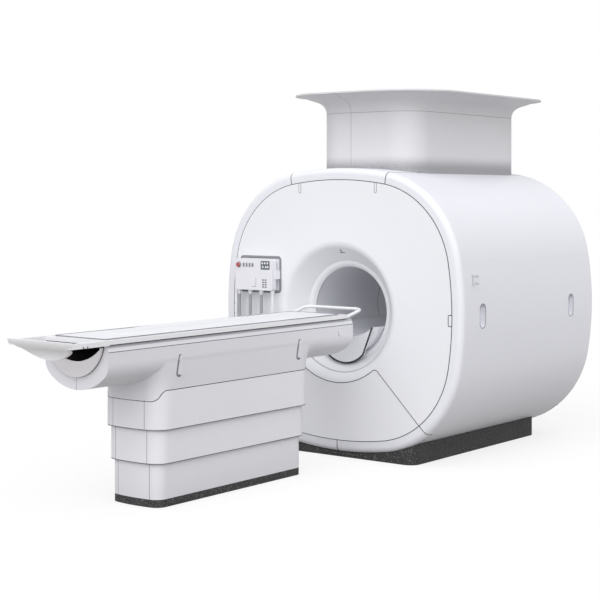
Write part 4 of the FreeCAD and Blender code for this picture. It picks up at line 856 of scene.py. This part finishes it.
# ---------------------------------------------------------------- shroud
def shroud_joints():
    """Fine joints of the shroud: the ring under the flare, and the upright seam of both
    ends, which runs on up the flare's outer skin: the least y so far on the way up."""
    plan = rounded_plan(SHROUD_HALF_WIDTH, SHROUD_HALF_LENGTH, SHROUD_CORNER, SHROUD_CENTRE)
    flare = [mesh_points(frame["nodes"][name].data) for name in ("left_flare", "right_flare")]
    points = np.concatenate(flare).astype(float)
    near = points[np.abs(points[:, 0] - SEAM_ACROSS) < 0.02]
    height, place = np.unique(near[:, 2].round(4), return_inverse=True)
    reach = np.full(len(height), np.inf)
    np.minimum.at(reach, place, near[:, 1])
    outer = reach <= np.minimum.accumulate(reach)
    level = np.clip(points[:, 2].round(4), FLARE_FOOT + 0.001, SEAM_TOP)
    up = np.unique([SEAM_FOOT, 2.1, 2.25, *level])
    skin = np.interp(up, height[outer], reach[outer])
    y = np.where(up < FLARE_FOOT + 0.0005, SHROUD_CENTRE - SHROUD_HALF_LENGTH, skin)
    path = np.column_stack([np.full(len(up), SEAM_ACROSS), y, up])
    lean = unit(np.gradient(path, axis=0))
    normals = np.column_stack([np.zeros(len(up)), -lean[:, 2], lean[:, 1]])
    upright = both_sides(sweep(path, normals, hairline()), axis=1, middle=SHROUD_CENTRE)
    return gather(upright_ring(*plan, FLARE_FOOT, hairline()), upright)


class SCANNER_OT_shroud_seams(bpy.types.Operator):
    """Lay the fine joints of the shroud"""

    bl_idname = "scanner.shroud_seams"
    bl_label = "Shroud seams"

    def execute(self, context):
        build("shroud_joints", shroud_joints(), "filled_joint", "gantry")
        return {"FINISHED"}


# ---------------------------------------------------------------- control box
def stop_collar():
    """The emergency stop's collar: a ring whose section is a low dome."""
    path = arc((-0.808, 1.292), 0.0178, 0, 360, 33, -BOX_FACE)[:-1]
    return sweep(path, FRONT, strip(0.0055, 0.0025), closed=True)


def keypad():
    """Four rows of two wide keys on the box's lower right."""
    places = [(across, 1.1885 - row * 0.0165) for row in range(4) for across in (-0.5855, -0.5625)]
    return pillows(places, 0.0098, 0.0058, 0.0016, -BOX_FACE)


def screen_marks():
    """Plain blocks on the display, in two uneven rows."""
    rows = {1.306: (-0.592, -0.57, -0.546), 1.28: (-0.588, -0.561, -0.543)}
    places = [(across, up) for up, row in rows.items() for across in row]
    return pillows(places, 0.008, 0.0075, 0.0006, -BOX_FACE - 0.0015)


def label_line():
    """A fine groove that turns a corner beside the keypad."""
    places = [
        (-0.652, 1.205), (-0.652, 1.18), (-0.652, 1.15), (-0.6545, 1.1425), (-0.662, 1.14),
        (-0.676, 1.14), (-0.69, 1.14),
    ]
    return sweep(on_face(places, -BOX_FACE), FRONT, strip(0.003, 0.0004))


def box_shadow_frame():
    """Painted shadow of the control box on the panel: a grey frame round the box's foot, a ring of
    a rounded box, wider than the box on every side."""
    plan, _ = rounded_plan(0.179, 0.121, 0.02, 0.0, 8)
    path = on_face(plan + [BOX_ACROSS, BOX_LEVEL], -PANEL_FACE)
    return sweep(path, FRONT, strip(0.02, 0.004), closed=True)


def ribbed_sleeves():
    """Ribbed sleeves over three of the conduits: the radius rises and falls with the
    sine of the height over the rib pitch."""
    size = sizes()
    up = np.arange(0.772, 1.084, size.rib_pitch / 6)
    radii = size.sleeve_radius + 0.0007 * np.sin(2 * np.pi * up / size.rib_pitch)
    return gather(*(turned((across, CONDUIT_Y, 0), radii, up) for across in CONDUITS[:3]))


def conduit_glands():
    """Glands at both ends of each conduit: a collar that steps in to the sleeve."""
    rise = np.array([0, 0.001, 0.012, 0.013, 0.022, 0.023])
    wide = np.array([0.0145, 0.0155, 0.0155, 0.0138, 0.0132, 0.0105])
    parts = []
    for across in CONDUITS:
        for places in (CONDUIT_FOOT + rise, CONDUIT_TOP - rise):
            parts.append(turned((across, CONDUIT_Y, 0), wide, places))
    return gather(*parts)


class SCANNER_OT_control_fittings(bpy.types.Operator):
    """Fit the control box's keys, marks, glands and sleeves"""

    bl_idname = "scanner.control_fittings"
    bl_label = "Control fittings"

    def execute(self, context):
        build("stop_collar", stop_collar(), "key_cap", "gantry")
        build("keypad", keypad(), "key_cap", "gantry")
        build("screen_marks", screen_marks(), "moulded_housing", "gantry")
        build("box_shadow_frame", box_shadow_frame(), "grey_foam", "gantry")
        build("label_line", label_line(), "grey_print", "gantry")
        build("ribbed_sleeves", ribbed_sleeves(), "ribbed_sleeve", "gantry")
        build("conduit_glands", conduit_glands(), "moulded_housing", "gantry")
        return {"FINISHED"}


# ---------------------------------------------------------------- table
def skirt_shadow_line(growth, level):
    """Painted shadow: a dark line round a tier's lower edge, where it overlaps the tier below."""
    return upright_ring(*pedestal_plan(growth), level, gasket(0.9))


def skirt_top_joint():
    """The joint between the upper skirt and the beam's neck, all the way round."""
    plan, out = pedestal_plan(TIERS["upper"][0])
    return upright_ring(plan, out, skirt_line(plan[:, 1]) - 0.0004, gasket(0.8))


def nose_joints(growth, low, high):
    """The joints that run up a tier's bowed foot end on both sides of its nose."""
    reach = TABLE_END_ARC + growth
    run = math.sqrt(reach**2 - NOSE_HALF_WIDTH**2)
    foot = TABLE_CENTRE - TABLE_HALF_LENGTH + TABLE_END_ARC - run
    path = np.linspace((NOSE_HALF_WIDTH, foot, low), (NOSE_HALF_WIDTH, foot, high), 8)
    return both_sides(sweep(path, (NOSE_HALF_WIDTH, -run, 0), hairline()))


def beam_end_joint():
    """The joint between the beam's halves: down the foot end, round its edge and along
    the belly to the neck."""
    top, belly, neck, gap = 0.779, 0.708, -3.06, 0.001
    down = np.linspace((0, BEAM_FOOT, top), (0, BEAM_FOOT, belly + gap), 6)
    along = np.linspace((0, BEAM_FOOT + gap, belly), (0, neck, belly), 6)
    return gather(sweep(down, FRONT, hairline()), sweep(along, DOWN, hairline()))


def beam_lines(across, up, outward, width):
    """A flat strip along both of the beam's sides, nearly from end to end."""
    short, proud = 0.0005, 0.0004
    ends = (across, BEAM_FOOT + short, up), (across, BEAM_HEAD - short, up)
    return both_sides(sweep(np.linspace(*ends, 24), outward, strip(width, proud)))


def side_marks():
    """A small curved inlay on each side of the beam near its head end."""
    turn = np.radians(np.linspace(150, 290, 16))
    along, up = -1.232 + 0.014 * np.cos(turn), 0.882 + 0.021 * np.sin(turn)
    path = np.column_stack([np.full(16, BEAM_HALF_WIDTH), along, up])
    return both_sides(sweep(path, RIGHT, strip(0.004, 0.0004)))


def screw_caps():
    """Caps of the screws that hold the foot handle's arms: low domes on the outside."""
    radii = np.array([0.006, 0.006, 0.0052, 0.003])
    out = np.array([-0.0003, 0.0005, 0.0012, 0.0016])
    places = ((BEAM_HALF_WIDTH - 0.0003, y, 0.972) for y in (-3.5, -3.53))
    return both_sides(*(turned(place, radii, out, axis=0, count=16) for place in places))


def hand_hold_shade():
    """Painted shade round the hand holds on the beam's sides, where they fall into shadow: a dark
    drop, round at its foot and narrower at its top, on the side that leans out from the neck."""
    low, high, foot_reach, top_reach = 0.7665, 0.861, 0.0185, 0.008
    neck_half, lean, lean_height = 0.2345, 0.0152, 0.188
    turn = np.linspace(0, 2 * np.pi, 61)[:-1]
    upper = np.sin(turn) > 0
    reach = np.where(upper, top_reach, foot_reach)
    up = np.where(upper, high, low) + reach * np.sin(turn)
    side = neck_half + lean * np.clip((up - NECK_LEVEL) / lean_height, 0, 1)
    parts = []
    for middle in (-2.772, -1.659):
        path = np.column_stack([side, middle + reach * np.cos(turn), up])
        parts.append(sweep(path, RIGHT, strip(0.011, 0.0016, 0.002), closed=True))
    return both_sides(*parts)


def edge_shadow_line():
    """Painted shadow: a dark line round the tabletop's lower edge, where it overhangs the beam."""
    plan = rounded_plan(BEAM_HALF_WIDTH, 1.1225, 0.04, TOP_MIDDLE, 14)
    return upright_ring(*plan, 0.9688, strip(sizes().gasket_width * 0.8, 0.0004))


class SCANNER_OT_table_seams(bpy.types.Operator):
    """Lay the joints and small inlays of the table"""

    bl_idname = "scanner.table_seams"
    bl_label = "Table seams"

    def execute(self, context):
        size = sizes()
        for tier, (growth, low, high, body) in TIERS.items():
            build(f"{tier}_nose_joints", nose_joints(growth, low, high), "joint_shadow", body)
        build("skirt_top_joint", skirt_top_joint(), "rubber_gasket", "beam")
        build("beam_end_joint", beam_end_joint(), "joint_shadow", "beam")
        build("beam_side_marks", side_marks(), "grey_print", "beam")
        build("hand_hold_shading", hand_hold_shade(), "joint_shadow", "beam")
        shoulders = beam_lines(BEAM_HALF_WIDTH, 0.9295, RIGHT, size.hairline_width * 1.4)
        build("shoulder_joints", shoulders, "joint_shadow", "beam")
        # Grey strips along the tops of the beam's sloping rims: painted shade under the tabletop's
        # overhang
        rim_shade = beam_lines(0.2389, 0.9587, (0.928, 0, 0.371), 0.015)
        build("rim_painted_shade", rim_shade, "ring_filler", "beam")
        # Painted shadow lines under the upper and middle tiers' lower edges
        for tier in ("upper", "middle"):
            growth, low, _, body = TIERS[tier]
            shadow_line = skirt_shadow_line(growth, low + 0.0012)
            build(f"{tier}_skirt_shadow_line", shadow_line, "joint_shadow", body)
        # A painted shadow line under the tabletop's edge
        build("edge_shadow_line", edge_shadow_line(), "rubber_gasket", "patient_top")
        build("handle_screw_caps", screw_caps(), "key_cap", "patient_top")
        return {"FINISHED"}


# ---------------------------------------------------------------- mattress
def pad_outline(count):
    """Plan of the mattress about its own middle, evenly spaced: a rounded box."""
    plan, _ = rounded_plan(PAD_HALF_WIDTH, PAD_HALF_LENGTH, PAD_CORNER, 0.0, 12)
    loop = np.concatenate([plan, plan[:1]])
    run = np.concatenate([[0], np.cumsum(np.linalg.norm(np.diff(loop, axis=0), axis=1))])
    spots = np.linspace(0, run[-1], count, endpoint=False)
    return np.stack([np.interp(spots, run, loop[:, i]) for i in (0, 1)], -1)


def pad_surface(count=480, top_rings=20, side_rings=5, base_rings=8):
    """The mattress before it swells. Each ring is its plan drawn towards the middle line
    by a share. The top rises from the welded edge with the square root of the share, the
    side band is drawn in 2 mm at mid height, and the base is flat."""
    plan = pad_outline(count)
    reach = PAD_HALF_LENGTH - PAD_HALF_WIDTH
    spine = np.stack([np.zeros(count), np.clip(plan[:, 1], -reach, reach)], -1)
    top_share = np.linspace(0, 1, top_rings) ** 1.3
    band = np.linspace(0, 1, side_rings + 2)[1:-1]
    share = np.concatenate([np.linspace(1, 0, base_rings), 0.01 * np.sin(np.pi * band), top_share])
    crown = 0.0035 * np.sqrt(np.clip(top_share * 4, 0, 1))
    height = np.concatenate([
        np.full(base_rings, PAD_LOW), PAD_LOW + (PAD_EDGE - PAD_LOW) * band, PAD_EDGE + crown,
    ])
    flat = plan[None] + share[:, None, None] * (spine - plan)[None]
    level = np.broadcast_to(height[:, None, None], (len(share), count, 1))
    points = np.concatenate([flat, level], -1) + [0, TOP_MIDDLE, 0]
    return points.reshape(-1, 3), grid_quads(len(share), count).tolist()


def swell(piece, held, frames, limit):
    """Inflate a closed cover with the cloth solver while its held points stay, then keep
    the result within the limit of where it started, and over the tabletop."""
    start = mesh_points(piece.data)
    group = piece.vertex_groups.new(name="welds")
    group.add(held.tolist(), 1.0, "REPLACE")
    cloth = piece.modifiers.new("cover", "CLOTH")
    cloth.settings.vertex_group_mass = group.name
    cloth.settings.use_pressure = True
    cloth.settings.uniform_pressure_force = 4.0
    cloth.settings.effector_weights.gravity = 0.0
    cloth.settings.quality = 4
    cloth.settings.tension_stiffness = 12.0
    cloth.settings.compression_stiffness = 12.0
    cloth.settings.bending_stiffness = 0.4
    cloth.collision_settings.use_collision = False
    cloth.point_cache.frame_start, cloth.point_cache.frame_end = 1, frames
    for step in range(1, frames + 1):
        bpy.context.scene.frame_set(step)
    shaped = piece.evaluated_get(bpy.context.evaluated_depsgraph_get())
    move = mesh_points(shaped.to_mesh()) - start
    shaped.to_mesh_clear()
    piece.modifiers.remove(cloth)
    piece.vertex_groups.remove(group)
    bpy.context.scene.frame_set(1)
    far = np.linalg.norm(move, axis=1, keepdims=True)
    final = start + move * np.minimum(1.0, limit / np.maximum(far, 1e-9))
    final[:, 2] = np.maximum(final[:, 2], PAD_LOW)
    piece.data.vertices.foreach_set("co", final.astype(np.float32).ravel())
    piece.data.update()


class SCANNER_OT_mattress(bpy.types.Operator):
    """Make the mattress: a coated cover that swells between its welded edges"""

    bl_idname = "scanner.mattress"
    bl_label = "Mattress"

    def execute(self, context):
        size = sizes()
        pad = build(
            "mattress_cover", pad_surface(), "coated_cloth", "patient_top", sharp=180
        )
        level = mesh_points(pad.data)[:, 2]
        held = np.flatnonzero((np.abs(level - PAD_EDGE) < 1e-5) | (level < PAD_LOW + 1e-5))
        swell(pad, held, size.pad_frames, size.pad_swell)
        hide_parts("mattress")
        plan = pad_outline(480) + [0, TOP_MIDDLE]
        section = rod(size.piping_radius)
        for name, level in (("upper_piping", PAD_EDGE), ("lower_piping", PAD_LOW + 0.0021)):
            path = np.column_stack([plan, np.full(len(plan), level)])
            piping = sweep(path, UP, section, closed=True)
            build(name, piping, "grey_piping", "patient_top", sharp=180)
        return {"FINISHED"}


# ---------------------------------------------------------------- stage
FLOOR_REACH, FLOOR_DROP, FLOOR_GLOW = 60.0, 0.0005, 0.75
WORLD_STRENGTH = 0.63
SUN_PLACE, SUN_TARGET, SUN_STRENGTH, SUN_SPREAD = (4.1, -7.2, 6.8), (0, 0, 1), 2.3, 100
EYE, EYE_BACK = (5.929, -8.951, 1.78), (0.6143, -0.7891, 0)
SENSOR, LENS, SHIFT = 36.0, 87.64, -0.1735


def seen_directly(tree):
    """One where a ray is the camera's, a reflection's or a transmission's, else none."""
    ray = add(tree, "ShaderNodeLightPath").outputs
    seen = ray["Is Camera Ray"]
    for kind in ("Is Glossy Ray", "Is Transmission Ray"):
        links = {0: seen, 1: ray[kind]}
        seen = add(tree, "ShaderNodeMath", {"operation": "MAXIMUM"}, links).outputs["Value"]
    return seen


def floor_finish():
    """Pale floor: white to the camera and in reflections, where it keeps the shadow, and
    a plain grey one to the light that it throws back."""
    material = bpy.data.materials.new("pale_floor")
    tree = empty_tree(material)
    seen = seen_directly(tree)
    glow = add(tree, "ShaderNodeMath", {"operation": "MULTIPLY"}, {0: seen, 1: FLOOR_GLOW})
    tone = add(
        tree, "ShaderNodeMix", {"data_type": "RGBA"},
        {"Factor": seen, "A": linear("#9B9895") + (1.0,), "B": (1, 1, 1, 1)},
    ).outputs["Result"]
    matt = add(tree, "ShaderNodeBsdfDiffuse", None, {"Color": tone}).outputs["BSDF"]
    white = add(tree, "ShaderNodeEmission", None, {"Color": (1, 1, 1, 1), "Strength": 1.0})
    links = {0: glow.outputs["Value"], 1: matt, 2: white.outputs["Emission"]}
    mixed = add(tree, "ShaderNodeMixShader", None, links).outputs["Shader"]
    add(tree, "ShaderNodeOutputMaterial", None, {"Surface": mixed})
    return material


def studio_world():
    """White to the camera and in reflections, a soft even light for the rest."""
    bpy.context.scene.world = bpy.data.worlds.new("studio")
    tree = empty_tree(bpy.context.scene.world)
    links = {0: seen_directly(tree)}
    soft = (linear("#FBFCFF") + (1.0,), WORLD_STRENGTH)
    for place, (tone, strength) in enumerate((soft, ((1, 1, 1, 1), 1.0)), 1):
        light = add(tree, "ShaderNodeBackground", None, {"Color": tone, "Strength": strength})
        links[place] = light.outputs["Background"]
    mixed = add(tree, "ShaderNodeMixShader", None, links).outputs["Shader"]
    add(tree, "ShaderNodeOutputWorld", None, {"Surface": mixed})


def stand(data, place, back):
    """Put a lamp or a camera in its place, with its back turned that way and level."""
    back = unit(np.array(back, float))
    side = unit(np.cross(UP, back))
    turn = Matrix(np.column_stack([side, np.cross(back, side), back]).tolist())
    made = bpy.data.objects.new(data.name, data)
    made.matrix_world = Matrix.Translation(place) @ turn.to_4x4()
    bpy.context.scene.collection.objects.link(made)
    return made


class SCANNER_OT_stage(bpy.types.Operator):
    """Set the floor, the studio light and the camera of the photograph's view"""

    bl_idname = "scanner.stage"
    bl_label = "Stage"

    def execute(self, context):
        corners = np.array([[-1, -1, 0], [1, -1, 0], [1, 1, 0], [-1, 1, 0]]) * FLOOR_REACH
        mesh = bpy.data.meshes.new("floor")
        mesh.from_pydata((corners - [0, 0, FLOOR_DROP]).tolist(), [], [[0, 1, 2, 3]])
        mesh.materials.append(floor_finish())
        floor = bpy.data.objects.new("floor", mesh)
        context.scene.collection.objects.link(floor)
        studio_world()
        sun = bpy.data.lights.new("front_light", "SUN")
        sun.energy, sun.angle = SUN_STRENGTH, math.radians(SUN_SPREAD)
        stand(sun, SUN_PLACE, np.subtract(SUN_PLACE, SUN_TARGET))
        view = bpy.data.cameras.new("view")
        view.sensor_width, view.lens, view.shift_y = SENSOR, LENS, SHIFT
        context.scene.camera = stand(view, EYE, EYE_BACK)
        context.scene.view_settings.view_transform = "Standard"
        return {"FINISHED"}


class SCANNER_PT_sidebar(bpy.types.Panel):
    """Sizes, colours and steps of the scanner"""

    bl_label = "Scanner"
    bl_idname = "SCANNER_PT_sidebar"
    bl_space_type = "VIEW_3D"
    bl_region_type = "UI"
    bl_category = "Scanner"

    def draw(self, context):
        for group in (context.scene.scanner_sizes, context.scene.scanner_colours):
            box = self.layout.box()
            for name in group.__annotations__:
                box.prop(group, name)
        for step in STEPS:
            self.layout.operator(step.bl_idname)


STEPS = (
    SCANNER_OT_finishes,
    SCANNER_OT_cover_seams,
    SCANNER_OT_bore_trims,
    SCANNER_OT_shroud_seams,
    SCANNER_OT_control_fittings,
    SCANNER_OT_table_seams,
    SCANNER_OT_mattress,
    SCANNER_OT_stage,
)
GROUPS = (ScannerSizes, ScannerColours)


def register():
    for item in (*GROUPS, *STEPS, SCANNER_PT_sidebar):
        bpy.utils.register_class(item)
    bpy.types.Scene.scanner_sizes = PointerProperty(type=ScannerSizes)
    bpy.types.Scene.scanner_colours = PointerProperty(type=ScannerColours)


def unregister():
    del bpy.types.Scene.scanner_colours
    del bpy.types.Scene.scanner_sizes
    for item in (SCANNER_PT_sidebar, *reversed(STEPS), *reversed(GROUPS)):
        bpy.utils.unregister_class(item)


def main():
    register()
    bpy.ops.scanner.finishes()
    bpy.ops.scanner.cover_seams()
    bpy.ops.scanner.bore_trims()
    bpy.ops.scanner.shroud_seams()
    bpy.ops.scanner.control_fittings()
    bpy.ops.scanner.table_seams()
    bpy.ops.scanner.mattress()
    bpy.ops.scanner.stage()


if __name__ == "__main__":
    main()
